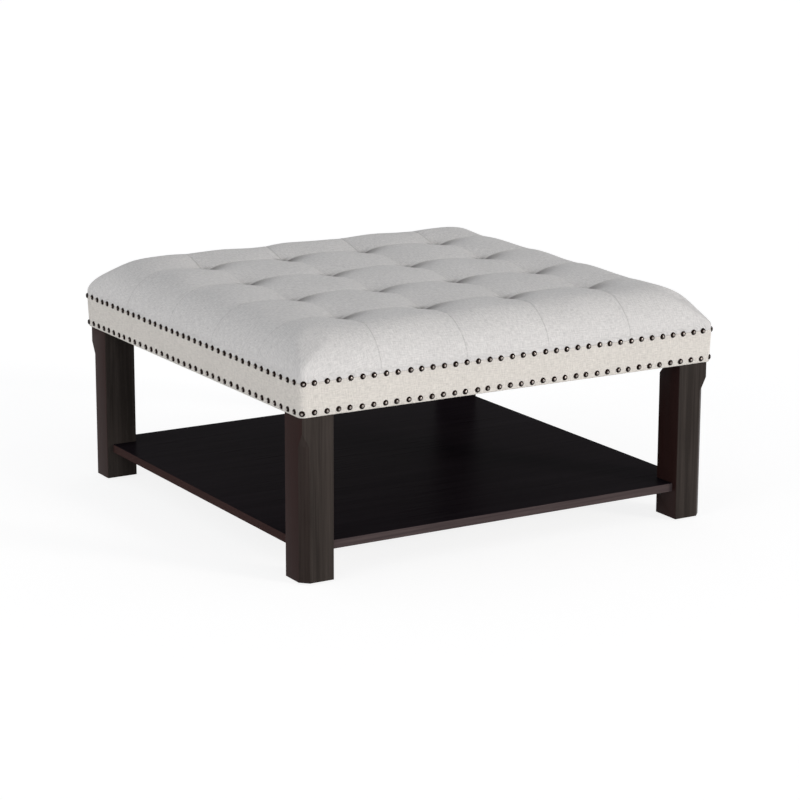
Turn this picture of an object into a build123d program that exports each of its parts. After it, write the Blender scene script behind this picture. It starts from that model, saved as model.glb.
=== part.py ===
from build123d import *
import os
from math import atan, cos, degrees, pi, sqrt

# Upholstered coffee-table ottoman: a tufted top on a box frame, four bolted legs and an open shelf.
# Millimetres, +Z up, the front faces -Y, the origin lies on the floor under the middle of the top.
# Pieces that repeat at the corners are modelled at the back right corner (+X, +Y) and mirrored.

os.makedirs("parts", exist_ok=True)

# Overall
table_width = 914.4
table_depth = 914.4
table_height = 457.2
cushion_height = 80.1  # from the joint of the two covers up to the crowns
band_height = 63.6  # from the frame's underside up to the joint
overrun = 5.0  # how far a cut runs past what it cuts
diagonal_share = sqrt(0.5)  # one side of a square whose diagonal is one

# Box frame
cover_thickness = 5.0  # linen and wadding outside the frame, at its top
hem_thickness = 2.3  # the same at the frame's bottom edge
rail_lap = 7.9  # how far the rails stand above the joint
rail_thickness = 20.0
frame_corner_radius = 8.0
centre_rail_height = 50.0
deck_thickness = 9.0
block_height = 50.0
block_thickness = 22.0
block_drop = 10.0  # from the deck down to the corner blocks

# Cushion
panels_wide = 5
panels_deep = 5
skirt_height = 10.0  # straight side above the joint
fold_step = 0.5  # the apron cover's folded edge stands out past the cushion's cover
border_run = 78.0  # how far the border rolls in from the outer face
border_power = 1.7  # 2 is a quarter of an ellipse, less is drawn in more
border_steps = 6  # stations along the roll at the cushion's two ends
panel_steps = 4  # stations across each panel
arc_middle_share = 0.16  # where the roll's arc is steered, as a share of its run
arc_end_share = 0.6  # where the roll's arc meets the panel's crown
seam_drop = 7.0  # how far a seam lies below the crowns beside it
pull_drop = 20.0  # how far a pull lies below the crowns around it
seam_draw = 3.0  # how far a seam draws the border in
wadding_thickness = 5.2  # between a pull and the foam
foam_inset = 16.0
foam_corner_radius = 45.0
foam_bevel = 20.0

# Tuft ties
tie_radius = 1.5
tie_hole_radius = 4.0
toggle_radius = 9.0
toggle_thickness = 3.0

# Nails
nail_radius = 5.4
nail_height = 3.4
nail_sides = 6
nail_crown_share = 0.5  # the flat crown's radius as a share of the nail's
nail_pitch = 24.4
lower_row_rise = 8.6  # above the frame's underside

# Legs
leg_side = 65.4
leg_inset = 3.35  # from the frame's outer faces
leg_edge_radius = 2.0
chamfer_width = 15.0  # of the outermost corner, along each face
chamfer_start = 29.0  # square part below the frame
chamfer_stop = 28.0  # length over which the chamfer runs out
flat_width = 25.0  # of the inner corner at the frame, along each face
flat_stop = 29.0  # length over which the flat runs out below the frame
notch_width = 15.7  # of the inner corner at the shelf, along each face
notch_drop = 15.5  # from the shelf's underside down to the notch's floor
foot_radius = 11.0
foot_thickness = 3.0
foot_pin_radius = 1.6
foot_pin_length = 16.0
foot_sides = 16

# Shelf
shelf_top = 73.8
shelf_thickness = 17.3
shelf_inset = 13.0  # from the outer faces of the legs
shelf_edge_radius = 1.5
shelf_gap = 0.2  # between the shelf and a leg
tongue_drop = 0.3  # from the shelf's top down to the corner tongues inside the legs

# Hanger bolts
fixing_sides = 6  # faces round a hidden shank or bore
washer_sides = 12
bolt_radius = 4.0
bolt_depth = 30.0  # into the leg
bolt_stand = 11.0  # past the corner block
bolt_clearance = 0.2
washer_radius = 9.0
washer_thickness = 1.6
nut_radius = 7.5
nut_thickness = 6.5

# Screws
screw_radius = 2.0
screw_head_radius = 4.0
screw_head_height = 2.6
screw_clearance = 0.15
block_screw_length = 35.0
block_screw_offset = 60.0  # along the block, from its middle
block_screw_rise = 13.0  # above and below the block's middle
bracket_screw_length = 13.0

# Shelf brackets
bracket_thickness = 2.5
bracket_width = 19.0
bracket_reach = 34.0
bracket_lift = 1.0  # above the notch's floor

# Dust cover
dust_thickness = 0.8
dust_inset = 10.0
dust_gap = 0.5  # round each leg

# Places that follow from the sizes above
joint_height = table_height - cushion_height
apron_bottom = joint_height - band_height
rail_height = band_height + rail_lap
frame_width = table_width - 2 * cover_thickness
frame_depth = table_depth - 2 * cover_thickness
rail_x = frame_width / 2 - rail_thickness
rail_y = frame_depth / 2 - rail_thickness
deck_bottom = apron_bottom + rail_height
deck_top = deck_bottom + deck_thickness
leg_x = frame_width / 2 - leg_inset
leg_y = frame_depth / 2 - leg_inset
inner_x = leg_x - leg_side
inner_y = leg_y - leg_side
shelf_bottom = shelf_top - shelf_thickness
foam_thickness = table_height - pull_drop - wadding_thickness - deck_top
pull_spacing_x = table_width / panels_wide
pull_spacing_y = table_depth / panels_deep
block_middle = deck_bottom - block_drop - block_height / 2
diagonal = Vector(1, 1, 0)


def write_corners(piece, name):
    """Write a piece modelled at the back right corner once for each corner."""
    for place, side_x, side_y in (
        ("front_left", -1, -1),
        ("front_right", 1, -1),
        ("back_left", -1, 1),
        ("back_right", 1, 1),
    ):
        placed = piece
        if side_x < 0:
            placed = mirror(placed, about=Plane.YZ)
        if side_y < 0:
            placed = mirror(placed, about=Plane.XZ)
        placed.label = f"{name}_{place}"
        export_step(placed, f"parts/{placed.label}.step")


def copy_to_corners(piece):
    """Add a piece modelled at the back right corner at all four corners."""
    add(piece)
    mirror(about=Plane.YZ)
    mirror(about=Plane.XZ)


def shank(radius):
    """The outline of a hidden pin, tie or screw."""
    RegularPolygon(radius, fixing_sides)


def bore(radius, mode=Mode.ADD):
    """The outline of a hidden bore that clears a round shank of its radius."""
    RegularPolygon(radius, fixing_sides, major_radius=False, mode=mode)


# Planes at a leg's corners, across its diagonal: local X runs into the wood, local Y runs up
outer_corner = Plane(origin=(leg_x, leg_y, 0), x_dir=(-1, -1, 0), z_dir=(-1, 1, 0))
inner_corner = Plane(origin=(inner_x, inner_y, 0), x_dir=(1, 1, 0), z_dir=(1, -1, 0))
chamfer_depth = chamfer_width * diagonal_share
flat_depth = flat_width * diagonal_share
notch_depth = notch_width * diagonal_share
bolt_plane = Plane(
    origin=(inner_x + flat_width / 2, inner_y + flat_width / 2, block_middle), z_dir=diagonal
)
block_face = Plane(
    origin=bolt_plane.origin - diagonal.normalized() * block_thickness,
    x_dir=(1, -1, 0),
    z_dir=diagonal,
)

# Leg screws at the shelf: one level through the bracket into the leg, one up into the shelf
flange_middle = (shelf_bottom - bracket_thickness + shelf_bottom - notch_drop + bracket_lift) / 2
bracket_into_leg = Plane(
    origin=(inner_x + notch_width / 2, inner_y + notch_width / 2, flange_middle), z_dir=diagonal
)
bracket_tip = notch_depth - bracket_reach
shelf_screw_in = bracket_tip + screw_head_radius + bracket_thickness
bracket_into_shelf = Plane(
    origin=(
        inner_x + shelf_screw_in * diagonal_share,
        inner_y + shelf_screw_in * diagonal_share,
        shelf_bottom,
    )
)


# Legs: square posts with a stopped chamfer outside, an inner flat for the block and a shelf notch
with BuildPart() as leg:
    with BuildSketch(Plane.XY.offset(foot_thickness)):
        with Locations((leg_x - leg_side / 2, leg_y - leg_side / 2)):
            Rectangle(leg_side, leg_side)
    extrude(amount=apron_bottom - foot_thickness)
    fillet(leg.edges().filter_by(Axis.Z), leg_edge_radius)
    with BuildSketch(Plane.XY.offset(apron_bottom)):
        with Locations((inner_x, inner_y)):
            Rectangle(rail_x - inner_x, rail_y - inner_y, align=(Align.MIN, Align.MIN))
    extrude(amount=rail_height)
    # Stopped chamfer
    with BuildSketch(outer_corner):
        with BuildLine():
            Polyline(
                (-overrun, -overrun),
                (chamfer_depth, -overrun),
                (chamfer_depth, apron_bottom - chamfer_start - chamfer_stop),
                (0, apron_bottom - chamfer_start),
                (-overrun, apron_bottom - chamfer_start),
                close=True,
            )
        make_face()
    extrude(amount=leg_side, both=True, mode=Mode.SUBTRACT)
    # Flat for the corner block
    with BuildSketch(inner_corner):
        with BuildLine():
            Polyline(
                (0, apron_bottom - flat_stop),
                (flat_depth, apron_bottom),
                (flat_depth, deck_bottom + overrun),
                (-overrun, deck_bottom + overrun),
                (-overrun, apron_bottom - flat_stop),
                close=True,
            )
        make_face()
    extrude(amount=leg_side, both=True, mode=Mode.SUBTRACT)
    # Notch for the shelf and its bracket
    with BuildSketch(inner_corner):
        with BuildLine():
            Polyline(
                (-overrun, shelf_bottom - notch_drop),
                (notch_depth, shelf_bottom - notch_drop),
                (notch_depth, shelf_top),
                (-overrun, shelf_top),
                close=True,
            )
        make_face()
    extrude(amount=leg_side, both=True, mode=Mode.SUBTRACT)
    # Bores
    with BuildSketch(bolt_plane):
        bore(bolt_radius + bolt_clearance)
    extrude(amount=bolt_depth + bolt_clearance, mode=Mode.SUBTRACT)
    with BuildSketch(bracket_into_leg):
        bore(screw_radius + screw_clearance)
    extrude(amount=bracket_screw_length, mode=Mode.SUBTRACT)
    with BuildSketch(Plane.XY.offset(foot_thickness)):
        with Locations((leg_x - leg_side / 2, leg_y - leg_side / 2)):
            bore(foot_pin_radius + screw_clearance)
    extrude(amount=foot_pin_length + screw_clearance, mode=Mode.SUBTRACT)
write_corners(leg.part, "leg")


# Glides: a disc under each foot with a pin driven into the leg
with BuildPart() as glide:
    with BuildSketch():
        with Locations((leg_x - leg_side / 2, leg_y - leg_side / 2)):
            RegularPolygon(foot_radius, foot_sides)
    extrude(amount=foot_thickness)
    chamfer(glide.faces().sort_by(Axis.Z)[0].edges(), foot_thickness / 3)
    with BuildSketch(Plane.XY.offset(foot_thickness)):
        with Locations((leg_x - leg_side / 2, leg_y - leg_side / 2)):
            shank(foot_pin_radius)
    extrude(amount=foot_pin_length)
write_corners(glide.part, "glide")


# Shelf: one panel, clipped round the legs, with a corner tongue let into the notch of each leg
with BuildPart() as shelf:
    with BuildSketch(Plane.XY.offset(shelf_bottom)):
        Rectangle(2 * (leg_x - shelf_inset), 2 * (leg_y - shelf_inset))
    extrude(amount=shelf_thickness)
    fillet(shelf.faces().filter_by(Axis.Z).edges(), shelf_edge_radius)
    for side_x in (-1, 1):
        for side_y in (-1, 1):
            with BuildSketch(Plane.XY.offset(shelf_bottom)):
                with BuildLine():
                    Polyline(
                        (side_x * (inner_x + notch_width), side_y * (inner_y - shelf_gap)),
                        (side_x * leg_x, side_y * (inner_y - shelf_gap)),
                        (side_x * leg_x, side_y * leg_y),
                        (side_x * (inner_x - shelf_gap), side_y * leg_y),
                        (side_x * (inner_x - shelf_gap), side_y * (inner_y + notch_width)),
                        close=True,
                    )
                make_face()
            extrude(amount=shelf_thickness, mode=Mode.SUBTRACT)
            with BuildSketch(Plane.XY.offset(shelf_top)):
                with Locations((side_x * leg_x, side_y * leg_y)):
                    Rectangle(2 * (leg_side + shelf_gap), 2 * (leg_side + shelf_gap))
            extrude(amount=-tongue_drop, mode=Mode.SUBTRACT)
            with BuildSketch(Plane.XY.offset(shelf_bottom)):
                with Locations(
                    (side_x * bracket_into_shelf.origin.X, side_y * bracket_into_shelf.origin.Y)
                ):
                    bore(screw_radius + screw_clearance)
            extrude(amount=bracket_screw_length, mode=Mode.SUBTRACT)
shelf.part.label = "shelf"
export_step(shelf.part, "parts/shelf.step")


# Shelf brackets: folded steel angles on the notch's flat, under the shelf
with BuildPart() as bracket:
    with BuildSketch(inner_corner):
        with BuildLine():
            Polyline(
                (notch_depth, shelf_bottom - notch_drop + bracket_lift),
                (notch_depth, shelf_bottom),
                (bracket_tip, shelf_bottom),
                (bracket_tip, shelf_bottom - bracket_thickness),
                (notch_depth - bracket_thickness, shelf_bottom - bracket_thickness),
                (notch_depth - bracket_thickness, shelf_bottom - notch_drop + bracket_lift),
                close=True,
            )
        make_face()
    extrude(amount=bracket_width / 2, both=True)
    with BuildSketch(bracket_into_leg):
        bore(screw_radius + screw_clearance)
    extrude(amount=-(bracket_thickness + overrun), mode=Mode.SUBTRACT)
    with BuildSketch(bracket_into_shelf):
        bore(screw_radius + screw_clearance)
    extrude(amount=-bracket_thickness, mode=Mode.SUBTRACT)
write_corners(bracket.part, "shelf_bracket")


def screw(plane, head_offset, length):
    """A pan-head screw along a plane's normal, its head seated short of the plane's origin."""
    with BuildSketch(plane.offset(-head_offset)) as head:
        shank(screw_head_radius)
    extrude(head.sketch, amount=-screw_head_height)
    with BuildSketch(plane.offset(-head_offset)) as stem:
        shank(screw_radius)
    extrude(stem.sketch, amount=length)


with BuildPart() as corner_bracket_screws:
    screw(bracket_into_leg, bracket_thickness, bracket_screw_length)
    screw(bracket_into_shelf, bracket_thickness, bracket_screw_length)
with BuildPart() as bracket_screws:
    copy_to_corners(corner_bracket_screws.part)
bracket_screws.part.label = "bracket_screws"
export_step(bracket_screws.part, "parts/bracket_screws.step")


# Corner blocks: braces across the corners of the frame, faced against the legs' inner flats
block_outside = inner_x + inner_y + flat_width
block_inside = block_outside - block_thickness / diagonal_share
block_screw_spots = GridLocations(2 * block_screw_offset, 2 * block_screw_rise, 2, 2).locations
with BuildPart() as block:
    with BuildSketch(Plane.XY.offset(block_middle - block_height / 2)):
        with BuildLine():
            Polyline(
                (rail_x, block_outside - rail_x),
                (block_outside - rail_y, rail_y),
                (block_inside - rail_y, rail_y),
                (rail_x, block_inside - rail_x),
                close=True,
            )
        make_face()
    extrude(amount=block_height)
    with BuildSketch(bolt_plane):
        bore(bolt_radius + bolt_clearance)
    extrude(amount=-block_thickness, mode=Mode.SUBTRACT)
    with BuildSketch(block_face):
        with Locations(block_screw_spots):
            bore(screw_radius + screw_clearance)
    extrude(amount=block_thickness + overrun, mode=Mode.SUBTRACT)
write_corners(block.part, "corner_block")

with BuildPart() as corner_block_screws:
    for spot in block_screw_spots:
        screw(Plane(block_face.location * spot), 0, block_screw_length)
with BuildPart() as block_screws:
    copy_to_corners(corner_block_screws.part)
block_screws.part.label = "corner_block_screws"
export_step(block_screws.part, "parts/corner_block_screws.step")


# Hanger bolts with washers and nuts
with BuildPart() as corner_bolt:
    with BuildSketch(bolt_plane.offset(-block_thickness - bolt_stand)):
        shank(bolt_radius)
    extrude(amount=bolt_stand + block_thickness + bolt_depth)
with BuildPart() as bolts:
    copy_to_corners(corner_bolt.part)
bolts.part.label = "hanger_bolts"
export_step(bolts.part, "parts/hanger_bolts.step")

with BuildPart() as corner_washer:
    with BuildSketch(block_face.offset(-washer_thickness)):
        RegularPolygon(washer_radius, washer_sides)
        bore(bolt_radius + bolt_clearance, Mode.SUBTRACT)
    extrude(amount=washer_thickness)
with BuildPart() as washers:
    copy_to_corners(corner_washer.part)
washers.part.label = "bolt_washers"
export_step(washers.part, "parts/bolt_washers.step")

with BuildPart() as corner_nut:
    with BuildSketch(block_face.offset(-washer_thickness - nut_thickness)):
        shank(nut_radius)
        bore(bolt_radius + bolt_clearance, Mode.SUBTRACT)
    extrude(amount=nut_thickness)
with BuildPart() as nuts:
    copy_to_corners(corner_nut.part)
nuts.part.label = "bolt_nuts"
export_step(nuts.part, "parts/bolt_nuts.step")


def cut_block_screw_holes():
    """Pilot holes in the rails at the right hand end of the back, mirrored to the other corners."""
    for side_x in (-1, 1):
        for side_y in (-1, 1):
            across = Vector(side_x, side_y, 0)
            face = Plane(
                origin=(side_x * block_face.origin.X, side_y * block_face.origin.Y, block_middle),
                x_dir=(side_x, -side_y, 0),
                z_dir=across,
            )
            with BuildSketch(face) as holes:
                with Locations(block_screw_spots):
                    bore(screw_radius + screw_clearance)
            extrude(holes.sketch, amount=block_screw_length, mode=Mode.SUBTRACT)


# Box frame: front and back rails run the full width, the side rails stand between them
for name, side in (("rail_front", -1), ("rail_back", 1)):
    with BuildPart() as long_rail:
        with BuildSketch(Plane.XY.offset(apron_bottom)):
            with Locations((0, side * (rail_y + rail_thickness / 2))):
                Rectangle(frame_width, rail_thickness)
        extrude(amount=rail_height)
        outer_edges = long_rail.edges().filter_by(Axis.Z).group_by(Axis.Y)[-1 if side > 0 else 0]
        fillet(outer_edges, frame_corner_radius)
        cut_block_screw_holes()
    long_rail.part.label = name
    export_step(long_rail.part, f"parts/{name}.step")

for name, side in (("rail_left", -1), ("rail_right", 1)):
    with BuildPart() as side_rail:
        with BuildSketch(Plane.XY.offset(apron_bottom)):
            with Locations((side * (rail_x + rail_thickness / 2), 0)):
                Rectangle(rail_thickness, 2 * rail_y)
        extrude(amount=rail_height)
        cut_block_screw_holes()
    side_rail.part.label = name
    export_step(side_rail.part, f"parts/{name}.step")

with BuildPart() as centre_rail:
    with BuildSketch(Plane.XY.offset(deck_bottom - centre_rail_height)):
        Rectangle(rail_thickness, 2 * rail_y)
    extrude(amount=centre_rail_height)
centre_rail.part.label = "centre_rail"
export_step(centre_rail.part, "parts/centre_rail.step")


# Deck: plywood over the frame, drilled for the tuft ties
with BuildPart() as deck:
    with BuildSketch(Plane.XY.offset(deck_bottom)):
        RectangleRounded(frame_width, frame_depth, frame_corner_radius)
        with GridLocations(pull_spacing_x, pull_spacing_y, panels_wide - 1, panels_deep - 1):
            bore(tie_hole_radius, Mode.SUBTRACT)
    extrude(amount=deck_thickness)
deck.part.label = "deck"
export_step(deck.part, "parts/deck.step")


# Foam: a slab with bevelled top edges, pierced by the tuft ties
with BuildPart() as slab:
    with BuildSketch(Plane.XY.offset(deck_top)):
        RectangleRounded(
            table_width - 2 * foam_inset, table_depth - 2 * foam_inset, foam_corner_radius
        )
    extrude(amount=foam_thickness)
    chamfer(slab.faces().sort_by(Axis.Z)[-1].edges(), foam_bevel)
with BuildPart() as foam:
    add(slab.part)
    with BuildSketch(Plane.XY.offset(deck_top)):
        with GridLocations(pull_spacing_x, pull_spacing_y, panels_wide - 1, panels_deep - 1):
            bore(tie_hole_radius)
    extrude(amount=foam_thickness, mode=Mode.SUBTRACT)
foam.part.label = "foam_slab"
export_step(foam.part, "parts/foam_slab.step")


# Tuft ties: twine from the underside of each pull down to a toggle under the deck
with BuildPart() as ties:
    with BuildSketch(Plane.XY.offset(deck_bottom - toggle_thickness)):
        with GridLocations(pull_spacing_x, pull_spacing_y, panels_wide - 1, panels_deep - 1):
            shank(toggle_radius)
    extrude(amount=toggle_thickness)
    with BuildSketch(Plane.XY.offset(deck_bottom)):
        with GridLocations(pull_spacing_x, pull_spacing_y, panels_wide - 1, panels_deep - 1):
            shank(tie_radius)
    extrude(amount=deck_thickness + foam_thickness)
ties.part.label = "tuft_ties"
export_step(ties.part, "parts/tuft_ties.step")


# Cushion cover: one loft through upright sections, tufted on top and rolled over at the border
def roll(inward, run):
    """Height of the rolled border above the joint at a distance in from its outer face."""
    share = min(inward / run, 1)
    curve = (1 - (1 - share) ** border_power) ** (1 / border_power)
    return skirt_height + (cushion_height - skirt_height) * curve


def seams(panels, length):
    """Places of the seams along one side."""
    return [(index - panels / 2) * length / panels for index in range(1, panels)]


def section(station, fall):
    """One upright section across the cushion. Fall is 1 for a station on a seam and 0 on a crown."""
    inward = table_width / 2 - fold_step - abs(station)
    lift = roll(inward, border_run) / cushion_height
    turned = max(frame_corner_radius + cover_thickness - inward, 0)
    setback = frame_corner_radius + cover_thickness
    setback -= sqrt(setback**2 - turned**2)
    half = table_depth / 2 - fold_step - setback
    run = border_run * lift
    crown_drop = seam_drop * fall
    dip_drop = seam_drop + (pull_drop - seam_drop) * fall
    draw = seam_draw * fall
    cusps = seams(panels_deep, table_depth)
    first = cusps[-1]
    steer = (half - run * arc_middle_share - draw, lift * roll(run * arc_middle_share, run))
    shoulder = (
        half - run * arc_end_share - draw,
        lift * (roll(run * arc_end_share, run) - crown_drop * arc_end_share),
    )
    crown = ((shoulder[0] + first) / 2, lift * (cushion_height - crown_drop))
    cusp_up = lift * (cushion_height - dip_drop)
    with BuildSketch(Plane.YZ.offset(station).shift_origin((station, 0, joint_height))) as upright:
        with BuildLine():
            Line((-half, 0), (half, 0))
            Line((half, 0), (half, lift * skirt_height))
            ThreePointArc((half, lift * skirt_height), steer, shoulder)
            ThreePointArc(shoulder, crown, (first, cusp_up))
            for near, far in zip(reversed(cusps[:-1]), reversed(cusps[1:])):
                top = ((near + far) / 2, lift * (cushion_height - crown_drop))
                ThreePointArc((far, cusp_up), top, (near, cusp_up))
            ThreePointArc((-first, cusp_up), (-crown[0], crown[1]), (-shoulder[0], shoulder[1]))
            ThreePointArc(
                (-shoulder[0], shoulder[1]), (-steer[0], steer[1]), (-half, lift * skirt_height)
            )
            Line((-half, lift * skirt_height), (-half, 0))
        make_face()
    return upright.sketch


lines = seams(panels_wide, table_width)
cushion_end = table_width / 2 - fold_step
end_crown = (lines[-1] + cushion_end - border_run) / 2
middle_stations = []
for left, right in zip(lines[:-1], lines[1:]):
    for step in range(panel_steps):
        share = step / panel_steps
        middle_stations.append((left + (right - left) * share, (1 - 2 * share) ** 2))
middle_stations.append((lines[-1], 1))
end_stations = []
for step in range(panel_steps // 2 - 1, -1, -1):
    share = 2 * step / panel_steps
    end_stations.append((end_crown + (lines[-1] - end_crown) * share, share**2))
for step in range(border_steps, -1, -1):
    inward = border_run * (1 - cos(step / border_steps * pi / 2))
    end_stations.append((cushion_end - inward, 0))
mirrored_stations = [(-place, fall) for place, fall in reversed(end_stations)]
with BuildPart() as cushion_cover:
    loft(
        [section(place, fall) for place, fall in mirrored_stations + middle_stations + end_stations],
        ruled=True,
    )
    with BuildSketch(Plane.XY.offset(joint_height)):
        RectangleRounded(frame_width, frame_depth, frame_corner_radius)
    extrude(amount=deck_top - joint_height, mode=Mode.SUBTRACT)
    add(slab.part, mode=Mode.SUBTRACT)
cushion_cover.part.label = "cushion_cover"
export_step(cushion_cover.part, "parts/cushion_cover.step")


# Apron cover: a band of linen round the frame, thinner towards its hem
lean = cover_thickness - hem_thickness
with BuildPart() as apron_cover:
    with BuildSketch(Plane.XY.offset(joint_height)):
        RectangleRounded(table_width, table_depth, frame_corner_radius + cover_thickness)
    with BuildSketch(Plane.XY.offset(apron_bottom)):
        RectangleRounded(
            table_width - 2 * lean, table_depth - 2 * lean, frame_corner_radius + hem_thickness
        )
    loft(ruled=True)
    with BuildSketch(Plane.XY.offset(apron_bottom)):
        RectangleRounded(frame_width, frame_depth, frame_corner_radius)
    extrude(amount=band_height, mode=Mode.SUBTRACT)
apron_cover.part.label = "apron_cover"
export_step(apron_cover.part, "parts/apron_cover.step")


# Dust cover: thin cloth under the frame, cut out round the legs
with BuildPart() as dust_cover:
    with BuildSketch(Plane.XY.offset(apron_bottom - dust_thickness)):
        Rectangle(frame_width - 2 * dust_inset, frame_depth - 2 * dust_inset)
        for side_x in (-1, 1):
            for side_y in (-1, 1):
                with Locations((side_x * frame_width / 2, side_y * frame_depth / 2)):
                    Rectangle(
                        2 * (frame_width / 2 - inner_x + dust_gap),
                        2 * (frame_depth / 2 - inner_y + dust_gap),
                        mode=Mode.SUBTRACT,
                    )
    extrude(amount=dust_thickness)
dust_cover.part.label = "dust_cover"
export_step(dust_cover.part, "parts/dust_cover.step")


# Nails: low domes seated along the outline of the band, turned square to its face
nail_shoulder = nail_radius * (1 - nail_crown_share) * cos(pi / nail_sides)
with BuildPart() as nail:
    with BuildSketch():
        RegularPolygon(nail_radius, nail_sides)
    extrude(amount=nail_height, taper=degrees(atan(nail_shoulder / nail_height)))


def write_nails(height, thickness, tilt, name):
    """Write one row of nails at a height where the cover has a given thickness."""
    with BuildSketch(Plane.XY.offset(height)) as outline:
        RectangleRounded(
            frame_width + 2 * thickness, frame_depth + 2 * thickness, frame_corner_radius + thickness
        )
    path = outline.sketch.faces()[0].outer_wire()
    count = round(path.length / nail_pitch)
    seats = []
    for index in range(count):
        place = (index + 0.5) / count
        along = path.tangent_at(place)
        outward = along.cross(Vector(0, 0, 1))
        if outward.dot(path.position_at(place)) < 0:
            outward = -outward
        seats.append(Plane(path.position_at(place), along, outward - Vector(0, 0, tilt)).location)
    with BuildPart() as nails:
        with Locations(*seats):
            add(nail.part)
    nails.part.label = name
    export_step(nails.part, f"parts/{name}.step")


lower_share = lower_row_rise / band_height
write_nails(joint_height, cover_thickness, 0, "nails_upper")
write_nails(
    apron_bottom + lower_row_rise,
    hem_thickness + lean * lower_share,
    lean / band_height,
    "nails_lower",
)
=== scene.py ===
"""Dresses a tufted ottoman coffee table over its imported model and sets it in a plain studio."""

import logging
import math
from collections.abc import Iterator
from contextlib import contextmanager
from dataclasses import dataclass, replace
from enum import Enum
from typing import Any

import bpy
import numpy as np
from mathutils import Matrix, Vector


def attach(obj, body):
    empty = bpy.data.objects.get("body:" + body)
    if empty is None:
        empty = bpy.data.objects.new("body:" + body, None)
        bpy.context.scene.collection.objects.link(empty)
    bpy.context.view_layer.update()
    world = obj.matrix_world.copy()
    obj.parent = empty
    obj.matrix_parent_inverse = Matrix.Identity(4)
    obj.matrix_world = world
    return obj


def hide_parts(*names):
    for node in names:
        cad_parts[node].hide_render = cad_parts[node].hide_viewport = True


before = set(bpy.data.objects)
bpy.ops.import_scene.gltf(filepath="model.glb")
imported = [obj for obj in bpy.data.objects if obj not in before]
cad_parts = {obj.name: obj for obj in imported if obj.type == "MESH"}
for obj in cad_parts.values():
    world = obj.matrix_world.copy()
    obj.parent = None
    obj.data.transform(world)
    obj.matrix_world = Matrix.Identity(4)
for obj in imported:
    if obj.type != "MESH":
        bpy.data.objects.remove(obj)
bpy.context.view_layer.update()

LOG = logging.getLogger("ottoman")
Pair = tuple[float, float]
Triple = tuple[float, float, float]
Colour = Triple
WHITE = (1.0, 1.0, 1.0)
CLOTH_MAP = "cloth"
RUB_HIGHLIGHT_MAP = "rub_highlight"
SIDE_SHADE_MAP = "side"
# The mesh attribute that carries the cushion's painted shade of seams and pulls
FOLD_SHADE_MAP = "fold"
BODY = "root"
TURN = 2 * math.pi

# Lengths that are too small to see
HAIR = 0.00001
SPECK = 1e-6
TINY = 1e-9


class Corner(Enum):
    """The four corners, with the side of each along X and along Y."""

    FRONT_LEFT = (-1, -1)
    FRONT_RIGHT = (1, -1)
    BACK_LEFT = (-1, 1)
    BACK_RIGHT = (1, 1)

    @property
    def label(self) -> str:
        """The corner's name as the nodes spell it."""
        return self.name.lower()


class Grain(Enum):
    """The axis that a board's grain runs along."""

    X = 0
    Y = 1
    Z = 2

    def scale(self, across: float, along: float) -> Triple:
        """Scales of a pattern that is drawn out along the grain."""
        return tuple(along if axis == self.value else across for axis in range(3))


class Wire:
    """One output of a shader node, whose arithmetic adds Math nodes."""

    def __init__(self, tree: "Tree", socket: bpy.types.NodeSocket) -> None:
        """Keeps the socket and its tree."""
        self.tree = tree
        self.socket = socket

    def _math(self, operation: str, first: Any, second: Any = 0.0) -> "Wire":
        """Adds one Math node."""
        return self.tree.node("ShaderNodeMath", {"operation": operation}, {0: first, 1: second})

    def __add__(self, other: Any) -> "Wire":
        """Sum."""
        return self._math("ADD", self, other)

    __radd__ = __add__

    def __sub__(self, other: Any) -> "Wire":
        """Difference."""
        return self._math("SUBTRACT", self, other)

    def __rsub__(self, other: Any) -> "Wire":
        """Difference from a number."""
        return self._math("SUBTRACT", other, self)

    def __mul__(self, other: Any) -> "Wire":
        """Product."""
        return self._math("MULTIPLY", self, other)

    __rmul__ = __mul__

    def __abs__(self) -> "Wire":
        """Size without sign."""
        return self._math("ABSOLUTE", self)

    def sine(self) -> "Wire":
        """Sine of an angle in radians."""
        return self._math("SINE", self)

    def part(self, axis: str) -> "Wire":
        """One coordinate of a place."""
        return self.tree.node("ShaderNodeSeparateXYZ", {}, {0: self}, axis)

    def over(self, level: float, softness: float) -> "Wire":
        """Rises from 0 to 1 round a level.

        Args:
            level: Where the result is a half.
            softness: How wide the rise is.

        Returns:
            The share, from 0 to 1.
        """
        return self.tree.node(
            "ShaderNodeMapRange",
            {"interpolation_type": "SMOOTHSTEP"},
            {"Value": self, "From Min": level - softness / 2, "From Max": level + softness / 2},
        )


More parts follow.
